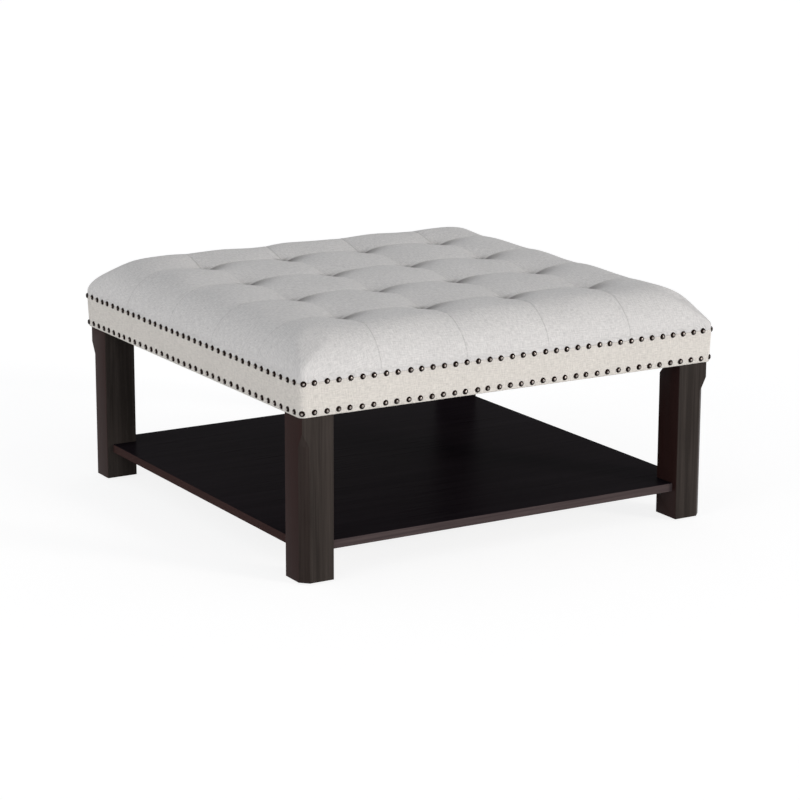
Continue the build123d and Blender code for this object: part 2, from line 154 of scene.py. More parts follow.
class Tree:
    """The node tree of a material or of the world."""

    def __init__(self, owner: Any) -> None:
        """Empties the owner's tree.

        Args:
            owner: The material or the world.
        """
        owner.use_nodes = True
        self.owner = owner
        self.tree = owner.node_tree
        self.tree.nodes.clear()

    @classmethod
    def of(cls, name: str) -> "Tree":
        """Starts a new material."""
        return cls(bpy.data.materials.new(name))

    def node(
        self, kind: str, settings: dict[str, Any] | None = None, inputs: dict[Any, Any] | None = None,
        output: int | str = 0,
    ) -> "Wire | None":
        """Adds one node.

        Args:
            kind: The node's type.
            settings: Its settings.
            inputs: Values or wires by the socket's name or number, a colour as three values.
            output: The output to return.

        Returns:
            That output, or nothing for a node without one.
        """
        made = self.tree.nodes.new(kind)
        for key, value in (settings or {}).items():
            setattr(made, key, value)
        for key, value in (inputs or {}).items():
            socket = made.inputs[key]
            if isinstance(value, Wire):
                self.tree.links.new(value.socket, socket)
            else:
                socket.default_value = (*value, 1.0) if socket.type == "RGBA" else value
        return Wire(self, made.outputs[output]) if made.outputs else None

    def place(self) -> Wire:
        """The place on the piece, in metres."""
        return self.node("ShaderNodeTexCoord", {}, {}, "Object")

    def painted(self, name: str) -> Wire:
        """The value that the mesh carries under a name."""
        return self.node("ShaderNodeAttribute", {"attribute_name": name}, {}, "Fac")

    def colours(self, factor: Any, first: Any, second: Any) -> Wire:
        """Mixes two colours, with the second one's share given first."""
        return self.node("ShaderNodeMix", {"data_type": "RGBA"}, {0: factor, 6: first, 7: second}, 2)

    def stretched(self, place: Wire, scale: Triple) -> Wire:
        """Scales a place along each axis."""
        return self.node("ShaderNodeMapping", {}, {0: place, "Scale": scale})

    def noise(self, place: Wire, scale: float = 1.0, detail: float = 2.0, warp: float = 0.0) -> Wire:
        """Adds a noise texture.

        Args:
            place: The coordinates.
            scale: Blobs per metre.
            detail: Octaves.
            warp: How far the noise folds into itself.

        Returns:
            A value round a half.
        """
        return self.node(
            "ShaderNodeTexNoise", {}, {"Vector": place, "Scale": scale, "Detail": detail, "Distortion": warp}
        )

    def bump(self, height: Wire, distance: float) -> Wire:
        """Turns a height, whose 1 is a distance in metres, into a normal."""
        return self.node("ShaderNodeBump", {}, {"Height": height, "Distance": distance, "Strength": 1.0})

    def surface(self, **sockets: Any) -> Any:
        """Ends the tree in one shader.

        Args:
            **sockets: Values or wires, by the socket's name with _ for a space.

        Returns:
            The tree's owner.
        """
        inputs = {key.replace("_", " "): value for key, value in sockets.items()}
        shader = self.node("ShaderNodeBsdfPrincipled", {}, inputs)
        self.node("ShaderNodeOutputMaterial", {}, {"Surface": shader})
        return self.owner


def uneven(level: Any, *patterns: tuple[Wire, float]) -> Wire:
    """Lets patterns round a half push a level up and down.

    Args:
        level: The level, a value or a wire.
        *patterns: Each pattern with its force.

    Returns:
        The uneven level.
    """
    for pattern, force in patterns:
        level = level + (pattern - 0.5) * force
    return level


@dataclass(frozen=True)
class Linen:
    """Pale linen with uneven threads, and painted shade where the mesh's fold-shade attribute says so."""

    name: str = "linen"
    pale: Colour = (0.86, 0.845, 0.828)
    grey: Colour = (0.53, 0.521, 0.512)
    shaded: Colour = (0.17, 0.155, 0.15)
    shade_share: float = 0.85
    paleness: float = 0.55
    gap_share: float = 0.25
    thread: float = 0.0012
    drift: float = 2.0
    drift_scale: float = 60.0
    slub_width: float = 0.0020
    slub_length: float = 0.012
    slub_contrast: float = 1.05
    slub_level: float = 0.64
    slub_softness: float = 0.12
    cloud_scale: float = 9.0
    cloud_contrast: float = 0.25
    weave_height: float = 0.00025
    thread_share: float = 0.7
    slub_share: float = 0.6
    fleck_share: float = 0.3
    rough: float = 0.92
    gloss: float = 0.15
    sheen: float = 0.06
    sheen_rough: float = 0.5

    def make(self) -> bpy.types.Material:
        """Builds the material.

        Returns:
            The material.
        """
        tree = Tree.of(self.name)
        place = tree.node("ShaderNodeUVMap", {"uv_map": CLOTH_MAP})
        drift = tree.noise(place, self.drift_scale, 1.0) * self.drift
        across, along = 1 / self.slub_width, 1 / self.slub_length
        warp_slub = tree.noise(tree.stretched(place, (across, along, 1.0)))
        weft_slub = tree.noise(tree.stretched(place, (along, across, 1.0)))
        pitch = math.pi / self.thread
        warp = abs((place.part("X") * pitch + drift).sine()) * (0.5 + warp_slub)
        weft = abs((place.part("Y") * pitch + drift).sine()) * (0.5 + weft_slub)
        weave = (warp + weft) * 0.5
        slubs = warp_slub + weft_slub
        flecks = [slub.over(self.slub_level, self.slub_softness) for slub in (warp_slub, weft_slub)]
        cloud = tree.noise(place, self.cloud_scale, 3.0)
        tone = uneven(self.paleness + (slubs - 1.0) * self.slub_contrast, (cloud, self.cloud_contrast))
        base = tree.colours(tone, self.grey, self.pale)
        base = tree.colours((1 - weave) * self.gap_share, base, self.grey)
        # Painted shade: the fold-shade attribute mixes in the shaded colour in the seams and round the pulls
        base = tree.colours(tree.painted(FOLD_SHADE_MAP) * self.shade_share, base, self.shaded)
        height = weave * self.thread_share + slubs * self.slub_share
        height = height + (flecks[0] + flecks[1]) * self.fleck_share
        return tree.surface(
            Base_Color=base,
            Roughness=self.rough,
            Normal=tree.bump(height, self.weave_height),
            Specular_IOR_Level=self.gloss,
            Sheen_Weight=self.sheen,
            Sheen_Roughness=self.sheen_rough,
        )


@dataclass(frozen=True)
class StainedWood:
    """Close-grained wood under a dark brown stain, with painted shade on faces along X, a painted highlight
    on edges past reach along Y, an end-grain tone past reach along X and painted light below under_level.
    """

    name: str
    grain: Grain
    dark: Colour = (0.027, 0.022, 0.0195)
    light: Colour = (0.078, 0.064, 0.057)
    # The darker, redder colour painted on faces that look along X, as painted shade
    shaded_side: Colour = (0.026, 0.0095, 0.0085)
    # edge is a painted highlight on the edges past reach along Y; side_edge is the end-grain tone of the
    # ends past reach along X
    edge: Colour = (0.088, 0.067, 0.066)
    side_edge: Colour = (0.058, 0.033, 0.030)
    # under is painted light: a lighter, browner colour below under_level
    under: Colour = (0.050, 0.035, 0.028)
    reach: float = 1.0
    under_level: float = -1.0
    shaded_side_share: float = 0.85
    edge_share: float = 0.8
    under_share: float = 0.55
    edge_softness: float = 0.0003
    under_softness: float = 0.0002
    pore_scale: Pair = (260.0, 7.0)
    band_scale: Pair = (34.0, 1.6)
    cloud_scale: float = 5.0
    pore_height: float = 0.00006
    rough: float = 0.42
    gloss: float = 0.03

    def make(self) -> bpy.types.Material:
        """Builds the material.

        Returns:
            The material.
        """
        tree = Tree.of(self.name)
        place = tree.place()
        pores = tree.noise(tree.stretched(place, self.grain.scale(*self.pore_scale)), 1.0, 3.0, 0.4)
        bands = tree.noise(tree.stretched(place, self.grain.scale(*self.band_scale)), 1.0, 3.0, 1.2)
        cloud = tree.noise(place, self.cloud_scale)
        tone = uneven((bands - 0.3) * 1.1, (pores, 0.7), (cloud, 0.5))
        base = tree.colours(tone, self.dark, self.light)
        # Painted shade: faces that look along X get the darker, redder colour
        base = tree.colours(tree.painted(SIDE_SHADE_MAP) * uneven(self.shaded_side_share, (bands, 0.5)), base, self.shaded_side)
        # Past reach along Y, a painted highlight on the front and back edges; past reach along X, the ends'
        # end-grain tone
        edge_light_and_end_grain = uneven(self.edge_share, (pores, 0.9), (cloud, 0.6))
        for axis, colour in (("Y", self.edge), ("X", self.side_edge)):
            outermost = abs(place.part(axis)).over(self.reach, self.edge_softness)
            base = tree.colours(outermost * edge_light_and_end_grain, base, colour)
        # Painted light: below under_level the underside gets the lighter, browner under colour
        lowest = (0 - place.part("Z")).over(-self.under_level, self.under_softness)
        underside_light = uneven(self.under_share, (bands, 1.2), (pores, 0.5))
        base = tree.colours(lowest * underside_light, base, self.under)
        return tree.surface(
            Base_Color=base,
            Roughness=uneven(self.rough, (pores, 0.16), (cloud, 0.1)),
            Normal=tree.bump(pores, self.pore_height),
            Specular_IOR_Level=self.gloss,
        )


@dataclass(frozen=True)
class AgedBronze:
    """Dark bronze, brighter on the high points, partly as rubbed metal and partly as a painted highlight."""

    name: str = "aged_bronze"
    dark: Colour = (0.010, 0.0062, 0.0050)
    # Near-white crown colour: partly rubbed metal, partly a painted highlight
    rubbed_highlight: Colour = (0.62, 0.56, 0.52)
    patch_scale: float = 420.0
    cloud_scale: float = 70.0
    patch_height: float = 0.00004
    rub_highlight_share: float = 0.85
    rough: float = 0.25

    def make(self) -> bpy.types.Material:
        """Builds the material.

        Returns:
            The material.
        """
        tree = Tree.of(self.name)
        place = tree.place()
        patches = tree.noise(place, self.patch_scale, 3.0)
        cloud = tree.noise(place, self.cloud_scale, 1.0)
        # Partly rubbed metal and partly a painted highlight on each nail's crown
        rub_highlight = tree.painted(RUB_HIGHLIGHT_MAP) * uneven(self.rub_highlight_share, (patches, 1.4), (cloud, 0.6))
        return tree.surface(
            Base_Color=tree.colours(rub_highlight, self.dark, self.rubbed_highlight),
            Metallic=1.0,
            Roughness=uneven(self.rough, (patches, 0.3)),
            Normal=tree.bump(patches, self.patch_height),
        )


@dataclass(frozen=True)
class BareWood:
    """Unfinished softwood or plywood inside the frame."""

    name: str
    grain: Grain
    pale: Colour = (0.62, 0.44, 0.26)
    late: Colour = (0.42, 0.25, 0.12)
    ring_scale: Pair = (45.0, 1.5)
    fibre_scale: Pair = (360.0, 12.0)
    rings: float = 6.0
    fibre_height: float = 0.0001
    rough: float = 0.7

    def make(self) -> bpy.types.Material:
        """Builds the material.

        Returns:
            The material.
        """
        tree = Tree.of(self.name)
        place = tree.place()
        rings = tree.noise(tree.stretched(place, self.grain.scale(*self.ring_scale)), 1.0, 2.0, 1.5)
        fibre = tree.noise(tree.stretched(place, self.grain.scale(*self.fibre_scale)))
        tone = uneven((rings * self.rings).sine() * 0.5 + 0.3, (fibre, 0.4))
        return tree.surface(
            Base_Color=tree.colours(tone, self.pale, self.late),
            Roughness=uneven(self.rough, (fibre, 0.2)),
            Normal=tree.bump(fibre, self.fibre_height),
        )


@dataclass(frozen=True)
class Speckled:
    """Any plain stuff with a fine grain: foam, twine, steel, plastic or cloth."""

    name: str
    colour: Colour
    fleck: Colour
    scale: float
    rough: float
    metal: float = 0.0
    relief: float = 0.0001
    cloud_share: float = 0.05

    def make(self) -> bpy.types.Material:
        """Builds the material.

        Returns:
            The material.
        """
        tree = Tree.of(self.name)
        place = tree.place()
        grain = tree.noise(place, self.scale, 3.0)
        cloud = tree.noise(place, self.scale * self.cloud_share)
        tone = uneven((grain - 0.3) * 1.2, (cloud, 0.6))
        return tree.surface(
            Base_Color=tree.colours(tone, self.colour, self.fleck),
            Metallic=self.metal,
            Roughness=uneven(self.rough, (grain, 0.2)),
            Normal=tree.bump(grain, self.relief),
        )


@dataclass(frozen=True)
class Outline:
    """A square with rounded corners, followed from the front's left end, round by the right."""

    half: float
    radius: float

    @property
    def straight(self) -> float:
        """Length of one straight side."""
        return 2 * (self.half - self.radius)

    @property
    def side(self) -> float:
        """Length of one side with one corner."""
        return self.straight + self.radius * TURN / 4

    @property
    def around(self) -> float:
        """Length of the whole outline."""
        return 4 * self.side

    def at(self, travel: np.ndarray) -> tuple[np.ndarray, np.ndarray]:
        """Places along the outline.

        Args:
            travel: Distances along the outline, from the front's left end.

        Returns:
            The points and the outward directions, both as rows of X and Y.
        """
        travel = np.asarray(travel, float) % self.around
        leg = np.floor(travel / self.side).astype(int)
        rest = travel - leg * self.side
        angle = np.clip(rest - self.straight, 0, None) / self.radius
        along = np.clip(rest, 0, self.straight) - self.straight / 2
        out = self.half - self.radius + self.radius * np.cos(angle)
        point = np.stack([along + self.radius * np.sin(angle), -out], -1)
        normal = np.stack([np.sin(angle), -np.cos(angle)], -1)
        turn = leg * TURN / 4
        spin = np.stack([np.cos(turn), -np.sin(turn), np.sin(turn), np.cos(turn)], -1).reshape(-1, 2, 2)
        return np.einsum("nij,nj->ni", spin, point), np.einsum("nij,nj->ni", spin, normal)


def smooth_step(value: np.ndarray) -> np.ndarray:
    """A soft rise from 0 to 1."""
    value = np.clip(value, 0, 1)
    return value * value * (3 - 2 * value)


def bell(value: np.ndarray, width: float) -> np.ndarray:
    """A bump of height 1 round 0, down to about a third at its width."""
    return np.exp(-((value / width) ** 2))


def grid_numbers(count: int) -> np.ndarray:
    """Point numbers of a square grid."""
    return np.arange(count * count).reshape(count, count)


def grid_faces(number: np.ndarray) -> np.ndarray:
    """The four point numbers of every cell of a grid."""
    return np.stack([number[:-1, :-1], number[1:, :-1], number[1:, 1:], number[:-1, 1:]], -1)


def between(values: np.ndarray, known: np.ndarray, wanted: np.ndarray) -> np.ndarray:
    """Reads a smooth curve through rows of values.

    Args:
        values: One row per known place.
        known: The known places, in order.
        wanted: The places to read.

    Returns:
        One row per wanted place.
    """
    slope = np.gradient(values, known, axis=0)
    row = np.clip(np.searchsorted(known, wanted) - 1, 0, len(known) - 2)
    step = known[row + 1] - known[row]
    part = ((wanted - known[row]) / step).reshape(-1, *[1] * (values.ndim - 1))
    step = step.reshape(part.shape)
    square, cube = part**2, part**3
    return (
        values[row] * (2 * cube - 3 * square + 1)
        + values[row + 1] * (3 * square - 2 * cube)
        + slope[row] * step * (cube - 2 * square + part)
        + slope[row + 1] * step * (cube - square)
    )


class Bench:
    """Makes meshes into pieces of the object."""

    @staticmethod
    def clear() -> None:
        """Leaves edit mode and deselects everything."""
        if bpy.context.object and bpy.context.object.mode != "OBJECT":
            bpy.ops.object.mode_set(mode="OBJECT")
        bpy.ops.object.select_all(action="DESELECT")

    @staticmethod
    def pick(piece: bpy.types.Object) -> None:
        """Selects one piece alone.

        Args:
            piece: The piece.
        """
        Bench.clear()
        piece.select_set(True)
        bpy.context.view_layer.objects.active = piece

    @staticmethod
    @contextmanager
    def editing(piece: bpy.types.Object) -> Iterator[None]:
        """Opens a piece in edit mode, selected all over.

        Args:
            piece: The piece.

        Yields:
            Nothing, while edit mode lasts.
        """
        Bench.pick(piece)
        bpy.ops.object.mode_set(mode="EDIT")
        bpy.ops.mesh.select_all(action="SELECT")
        yield
        bpy.ops.object.mode_set(mode="OBJECT")

    @staticmethod
    def placed(name: str, data: Any) -> bpy.types.Object:
        """Puts a mesh, lamp or camera into the scene.

        Args:
            name: The object's name.
            data: What it shows.

        Returns:
            The object.
        """
        piece = bpy.data.objects.new(name, data)
        bpy.context.scene.collection.objects.link(piece)
        return piece

    @staticmethod
    def from_arrays(name: str, points: np.ndarray, faces: list[list[int]]) -> bpy.types.Object:
        """Makes a mesh object.

        Args:
            name: The piece's name.
            points: Rows of X, Y and Z.
            faces: Rows of point numbers.

        Returns:
            The object.
        """
        mesh = bpy.data.meshes.new(name)
        mesh.from_pydata(points.tolist(), [], faces)
        mesh.update()
        return Bench.placed(name, mesh)

    @staticmethod
    def half_ball(facets: int, rings: int, radius: float, height: float, up: bool) -> bpy.types.Object:
        """Models a low dome with a flat underside at the origin.

        Args:
            facets: Its sides all round.
            rings: Its steps from pole to pole, before it is halved.
            radius: Its radius.
            height: Its height.
            up: Whether it stands on its flat side or hangs from it.

        Returns:
            The dome.
        """
        Bench.clear()
        bpy.ops.mesh.primitive_uv_sphere_add(segments=facets, ring_count=rings, radius=radius)
        dome = bpy.context.object
        with Bench.editing(dome):
            bpy.ops.transform.resize(value=(1, 1, height / radius))
            bpy.ops.mesh.bisect(
                plane_co=(0, 0, HAIR if up else -HAIR), plane_no=(0, 0, 1), use_fill=True,
                clear_inner=up, clear_outer=not up,
            )
        return dome

    @staticmethod
    def shade(piece: bpy.types.Object, degrees: float) -> None:
        """Smooths the shading except at edges sharper than an angle."""
        Bench.pick(piece)
        bpy.ops.object.shade_smooth_by_angle(angle=math.radians(degrees))

    @staticmethod
    def face_out(piece: bpy.types.Object) -> None:
        """Turns every face outwards."""
        with Bench.editing(piece):
            bpy.ops.mesh.normals_make_consistent(inside=False)

    @staticmethod
    def ease(piece: bpy.types.Object, width: float, segments: int = 1, degrees: float = 30) -> None:
        """Adds a bevel along the sharp edges.

        Args:
            piece: The piece.
            width: The bevel's width.
            segments: Its steps.
            degrees: The least angle of an edge that gets it.
        """
        bevel = piece.modifiers.new("ease", "BEVEL")
        bevel.width = width
        bevel.segments = segments
        bevel.limit_method = "ANGLE"
        bevel.angle_limit = math.radians(degrees)

    @staticmethod
    def apply(piece: bpy.types.Object) -> None:
        """Applies the piece's modifiers and its place.

        Args:
            piece: The piece.
        """
        Bench.pick(piece)
        for modifier in list(piece.modifiers):
            bpy.ops.object.modifier_apply(modifier=modifier.name)
        bpy.ops.object.transform_apply(location=True, rotation=True, scale=True)

    @staticmethod
    def copy(piece: bpy.types.Object, place: Matrix) -> bpy.types.Object:
        """Copies a piece with its own mesh.

        Args:
            piece: The piece.
            place: Where the copy is set down.

        Returns:
            The copy.
        """
        mesh = piece.data.copy()
        mesh.transform(place)
        return Bench.placed(piece.name, mesh)

    @staticmethod
    def joined(name: str, pattern: bpy.types.Object, copies: list[bpy.types.Object]) -> bpy.types.Object:
        """Joins the copies of a pattern, which is thrown away.

        Args:
            name: The joined piece's name.
            pattern: What was copied.
            copies: The copies.

        Returns:
            The joined piece.
        """
        bpy.data.objects.remove(pattern)
        Bench.pick(copies[0])
        for twin in copies:
            twin.select_set(True)
        bpy.ops.object.join()
        piece = bpy.context.object
        piece.name = name
        return piece

    @staticmethod
    def hand_in(
        piece: bpy.types.Object, finish: bpy.types.Material, slot: str, nodes: list[str]
    ) -> bpy.types.Object:
        """Dresses a piece and puts it on the body.

        Args:
            piece: The finished mesh.
            finish: Its material.
            slot: The record's material slot; not used.
            nodes: The nodes that it stands for.

        Returns:
            The piece.
        """
        piece.data.materials.clear()
        piece.data.materials.append(finish)
        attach(piece, BODY)
        if nodes:
            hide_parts(*nodes)
        LOG.info("%s: %d faces", piece.name, len(piece.data.polygons))
        return piece

    @staticmethod
    def paint(piece: bpy.types.Object, name: str, values: np.ndarray, domain: str = "POINT") -> None:
        """Gives a mesh one value per point or per face, for its material to read."""
        layer = piece.data.attributes.new(name, "FLOAT", domain)
        layer.data.foreach_set("value", values.astype(np.float32))

    @staticmethod
    def lay_cloth(piece: bpy.types.Object, places: np.ndarray) -> None:
        """Gives a mesh its cloth map, in metres.

        Args:
            piece: The mesh object.
            places: One row of two lengths per point.
        """
        layer = piece.data.uv_layers.new(name=CLOTH_MAP)
        loops = np.empty(len(piece.data.loops), np.int32)
        piece.data.loops.foreach_get("vertex_index", loops)
        layer.data.foreach_set("uv", places[loops].astype(np.float32).ravel())


@dataclass
class Cushion:
    """The tufted cover: crowned panels, folds, sixteen pulls and a border rolled down to the nails."""

    # The plain form
    half: float = 0.4567
    seam_pitch: float = 0.18288
    joint: float = 0.3771
    rise: float = 0.0801
    skirt: float = 0.010
    border: float = 0.078
    roundness: float = 1.7

    # The corners, which are rounder and slacker half way up
    corner_radius: float = 0.0125
    corner_growth: float = 0.038
    corner_rise: float = 0.045
    fade_start: float = 0.04
    fade_reach: float = 0.14
    corner_slack: float = 0.185
    corner_lean: float = 0.10
    rear_lean: float = 0.04
    side_slack: float = 0.095

    # The folds, with pairs for those along Y and those along X
    fold_depth: Pair = (0.0013, 0.0036)
    valley_power: float = 2.0
    border_power: float = 2.8
    tuck_depth: float = 0.0007
    tuck_width: float = 0.0015
    tuck_share: Pair = (0.5, 1.0)
    tuck_growth: Pair = (0.4, -0.3)
    pleat_height: float = 0.0002
    pleat_width: float = 0.0085
    pleat_start: float = 0.0009
    pleat_end: float = 0.0024
    side_reach: float = 0.03
    rim_reach: float = 0.004

    # How the folds stray: at their low and high ends, and in waves of rate, skew, phase and size
    drift_x: Pair = (-0.017, 0.020)
    drift_y: Pair = (-0.022, 0.012)
    wander: float = 0.0012
    wander_waves: tuple[tuple[float, float, float, float], ...] = ((21, 9, 0, 1), (43, -17, 1.3, 0.6))

    # The pulls, which reach less along X than along Y, and the slits that close over them
    pull_depth: float = 0.0195
    pull_reach: Pair = (0.025, 0.054)
    pull_power: float = 1.2
    slit_side: float = 0.0080
    slit_ease: float = 0.032
    slit_close: float = 0.0015
    lip_close: float = 0.0030
    slit_reach: float = 0.018

    # The creases that run out from the pulls
    crease_count: int = 2
    crease_turn: Pair = (0.15, 0.85)
    crease_length: Pair = (0.022, 0.050)
    crease_width: Pair = (0.0018, 0.0035)
    crease_depth: Pair = (0.0004, 0.0011)
    crease_bend: float = 3.0
    crease_start: float = 0.006
    crease_spread: float = 0.05

    # The painted shade of the seams, the pulls, their slits and their lee, with reaches aside of a pull and
    # in front of it
    seam_line: float = 0.0011
    seam_start: float = 0.02
    seam_shade: Pair = (0.26, 0.234)
    slit_behind: float = 0.0085
    slit_aside: float = 0.003
    slit_width: float = 0.0055
    nip_width: float = 0.0020
    nip_reach: Pair = (0.013, 0.026)
    nip_ring: float = 0.2
    nip_end: float = 0.004
    lee_start: float = 0.003
    lee_end: float = 0.006
    lee_reach: Pair = (0.042, 0.036)

    # The wadding's push
    swell_waves: int = 14
    swell_length: Pair = (0.09, 0.26)
    swell_height: float = 0.0003
    swell_force: float = 4.0
    swell_cap: float = 0.0032
    border_swell: float = 0.6
    frames: int = 20
    least_hold: float = 0.01
    seam_hold: Pair = (0.25, 0.6)
    seam_grip: float = 0.003
    pull_grip: float = 0.006
    rim_grip: float = 0.0015

    # The grid
    coarse: float = 0.0042
    fine: float = 0.0006
    border_steps: int = 26
    rough_coarse: float = 0.0075
    rough_fine: float = 0.0045
    rough_steps: int = 13
    fold_crowd: float = 0.0022
    pleat_crowd: float = 0.0018
    samples: int = 16001
    seed: int = 7

    # The underside and the foam's hollow
    skirt_rises: Triple = (0.0065, 0.003, 0.0005)
    hem: float = 0.0043
    hem_lift: float = 0.0001
    hem_ease: float = 0.0004
    deck_top: float = 0.3943
    foam_inset: float = 0.0152
    foam_corner: float = 0.0605
    foam_chamfer: float = 0.0201
    foam_top: float = 0.4323
    smooth: float = 60

    @property
    def folds(self) -> np.ndarray:
        """Places of the four folds each way."""
        return self.seam_pitch * np.array([-1.5, -0.5, 0.5, 1.5])

    def pulls(self) -> list[tuple[float, float]]:
        """Places of the sixteen pulls."""
        return [(x, y) for x in self.folds for y in self.folds]

    def lines(self) -> np.ndarray:
        """Places of the grid's lines along one side, crowded at the folds and down the border.

        Returns:
            The places, in order.
        """
        edge = self.half - self.border
        place = np.linspace(-edge, edge, self.samples)
        away = place[:, None] - self.folds
        second = away - np.sign(self.folds) * self.pleat_width
        dense = 1 / self.coarse + bell(away, self.fold_crowd).sum(1) / self.fine
        dense += bell(second, self.pleat_crowd).sum(1) / self.fine / 2
        total = np.concatenate([[0.0], np.cumsum((dense[1:] + dense[:-1]) / 2)]) * (place[1] - place[0])
        steps = round(total[-1] / 2) * 2
        inner = np.interp(np.linspace(0, total[-1], steps + 1), total, place)
        turn = np.linspace(math.pi / 2, 0, self.border_steps + 1)[1:]
        roll = self.half - self.border * (1 - np.cos(turn))
        return np.concatenate([-roll[::-1], inner, roll])

    def drifted(self, x: np.ndarray, y: np.ndarray) -> tuple[np.ndarray, np.ndarray]:
        """Leads the folds a little astray, mostly over the border.

        Args:
            x: Grid places along X.
            y: Grid places along Y.

        Returns:
            The cloth's places.
        """
        moved = []
        for along, across, (low, high) in ((x, y, self.drift_x), (y, x, self.drift_y)):
            past = smooth_step((np.abs(across) - self.folds[-1]) / (self.half - self.folds[-1]))
            far = past * np.where(across < 0, low, high)
            wave = sum(
                np.sin(across * rate + along * skew + phase) * size
                for rate, skew, phase, size in self.wander_waves
            )
            keep = 1 - (along / self.half) ** 4
            moved.append(along + (far + wave * self.wander) * keep)
        return moved[0], moved[1]

    def height_share(self, x: np.ndarray, y: np.ndarray, near: np.ndarray, far: np.ndarray) -> np.ndarray:
        """The rolled border's height, which sinks where the corners are slack.

        Args:
            x: Grid places along X.
            y: Grid places along Y.
            near: Distances in from the nearer side.
            far: Distances in from the other side.

        Returns:
            Heights as a share of the full one.
        """
        most = np.clip(1 - near / self.border, 0, 1)
        least = np.clip(1 - far / self.border, 0, 1)
        lean = self.corner_lean * (x - y) - self.rear_lean * (x + y)
        slack = self.corner_slack + lean / (2 * self.half) - self.side_slack * x * y / self.half**2
        round_off = smooth_step(least / np.maximum(most, TINY))
        out = np.minimum(most * (1 + slack * round_off * (1 - most**2)), 1)
        return (1 - out**self.roundness) ** (1 / self.roundness)

    def base(self, x: np.ndarray, y: np.ndarray) -> tuple[np.ndarray, np.ndarray]:
        """The form without its folds.

        Args:
            x: Grid places along X.
            y: Grid places along Y.

        Returns:
            The points, and each point's height as a share of the full one.
        """
        inset_x, inset_y = self.half - np.abs(x), self.half - np.abs(y)
        near, far = np.minimum(inset_x, inset_y), np.maximum(inset_x, inset_y)
        share = self.height_share(x, y, near, far)
        height = self.joint + self.skirt + (self.rise - self.skirt) * share
        radius = self.corner_radius + self.corner_growth * smooth_step(near / self.corner_rise)
        radius = radius * (1 - smooth_step((near - self.fade_start) / self.fade_reach))
        radius = np.maximum(radius, SPECK)
        # The grid's lines turn round an arc where they would meet at a sharp corner
        angle = math.pi / 4 * np.clip(1 - (far - near) / radius, 0, 1)
        turned = far - near < radius
        new_near = np.where(turned, near + radius * (1 - np.cos(angle)), near)
        new_far = np.where(turned, near + radius * (1 - np.sin(angle)), far)
        x_is_near = inset_x <= inset_y
        plan_x = np.sign(x) * (self.half - np.where(x_is_near, new_near, new_far))
        plan_y = np.sign(y) * (self.half - np.where(x_is_near, new_far, new_near))
        return np.stack([plan_x, plan_y, height], -1), share

    @staticmethod
    def normals(points: np.ndarray) -> np.ndarray:
        """Outward directions of a grid of points."""
        normal = np.cross(np.gradient(points, axis=0), np.gradient(points, axis=1))
        return normal / np.maximum(np.linalg.norm(normal, axis=-1, keepdims=True), TINY)

    def away(self, place: np.ndarray) -> np.ndarray:
        """Distance of each place from the nearest fold."""
        return np.abs(place[..., None] - self.folds).min(-1)

    def valley(self, place: np.ndarray) -> np.ndarray:
        """How far down towards the nearest fold a place lies, from 0 on a crown to 1 on the fold."""
        return np.clip(1 - self.away(place) / (self.seam_pitch / 2), 0, 1) ** self.valley_power

    def pleat(self, place: np.ndarray) -> np.ndarray:
        """The doubled cloth beside a fold, sharp at the fold and soft on its other side.

        Args:
            place: Grid places across the folds.

        Returns:
            Its height.
        """
        lift = np.zeros_like(place)
        for fold in self.folds:
            away = (place - fold) * np.sign(fold)
            past = smooth_step((away - self.pleat_width) / self.pleat_end)
            lift += smooth_step(away / self.pleat_start) * (1 - past)
        return lift * self.pleat_height

    def outer(self, place: np.ndarray, reach: float) -> np.ndarray:
        """Rises from 0 at the last fold to 1 a reach outside it."""
        return smooth_step((np.abs(place) - self.folds[-1]) / reach)

    def sunk(self, x: np.ndarray, y: np.ndarray, share: np.ndarray) -> np.ndarray:
        """How far the folds and pulls draw the cover in.

        Args:
            x: Grid places along X.
            y: Grid places along Y.
            share: Heights as a share of the full one.

        Returns:
            The depth along the normal.
        """
        depth = self.fold_depth[0] * self.valley(x) + self.fold_depth[1] * self.valley(y)
        near_x, near_y = self.away(x) / self.pull_reach[0], self.away(y) / self.pull_reach[1]
        pull = np.exp(-(near_x**self.pull_power) - near_y**self.pull_power)
        depth += (self.pull_depth - sum(self.fold_depth)) * pull
        depth *= share**self.border_power
        for along, across, tuck, growth in zip((x, y), (y, x), self.tuck_share, self.tuck_growth):
            side = self.outer(across, self.side_reach)
            tucked = self.tuck_depth * bell(self.away(along), self.tuck_width) * (tuck + growth * side)
            end = smooth_step((self.half - np.abs(across)) / self.rim_reach)
            depth += (tucked - self.pleat(along) * side) * end
        return depth

    def drawn(self, place: np.ndarray) -> np.ndarray:
        """Grows from 0 at a pull to 1 at the slit's side, and fades past it."""
        past = smooth_step((place - self.slit_side) / self.slit_ease)
        return np.clip(place / self.slit_side, 0, 1) * (1 - past)

    def closed(self, x: np.ndarray, y: np.ndarray) -> tuple[np.ndarray, np.ndarray]:
        """Draws the puffed sides of the folds together round each pull, so that they close to a slit.

        Args:
            x: Grid places along X.
            y: Grid places along Y.

        Returns:
            The shifts along X and Y.
        """
        shift_x, shift_y = np.zeros_like(x), np.zeros_like(y)
        for pull_x, pull_y in self.pulls():
            aside, behind = x - pull_x, y - pull_y
            side = np.sign(aside) * self.drawn(np.abs(aside))
            shift_x -= self.slit_close * side * bell(behind, self.slit_reach)
            shift_y -= self.lip_close * self.drawn(behind) * bell(aside, self.slit_reach)
        return shift_x, shift_y

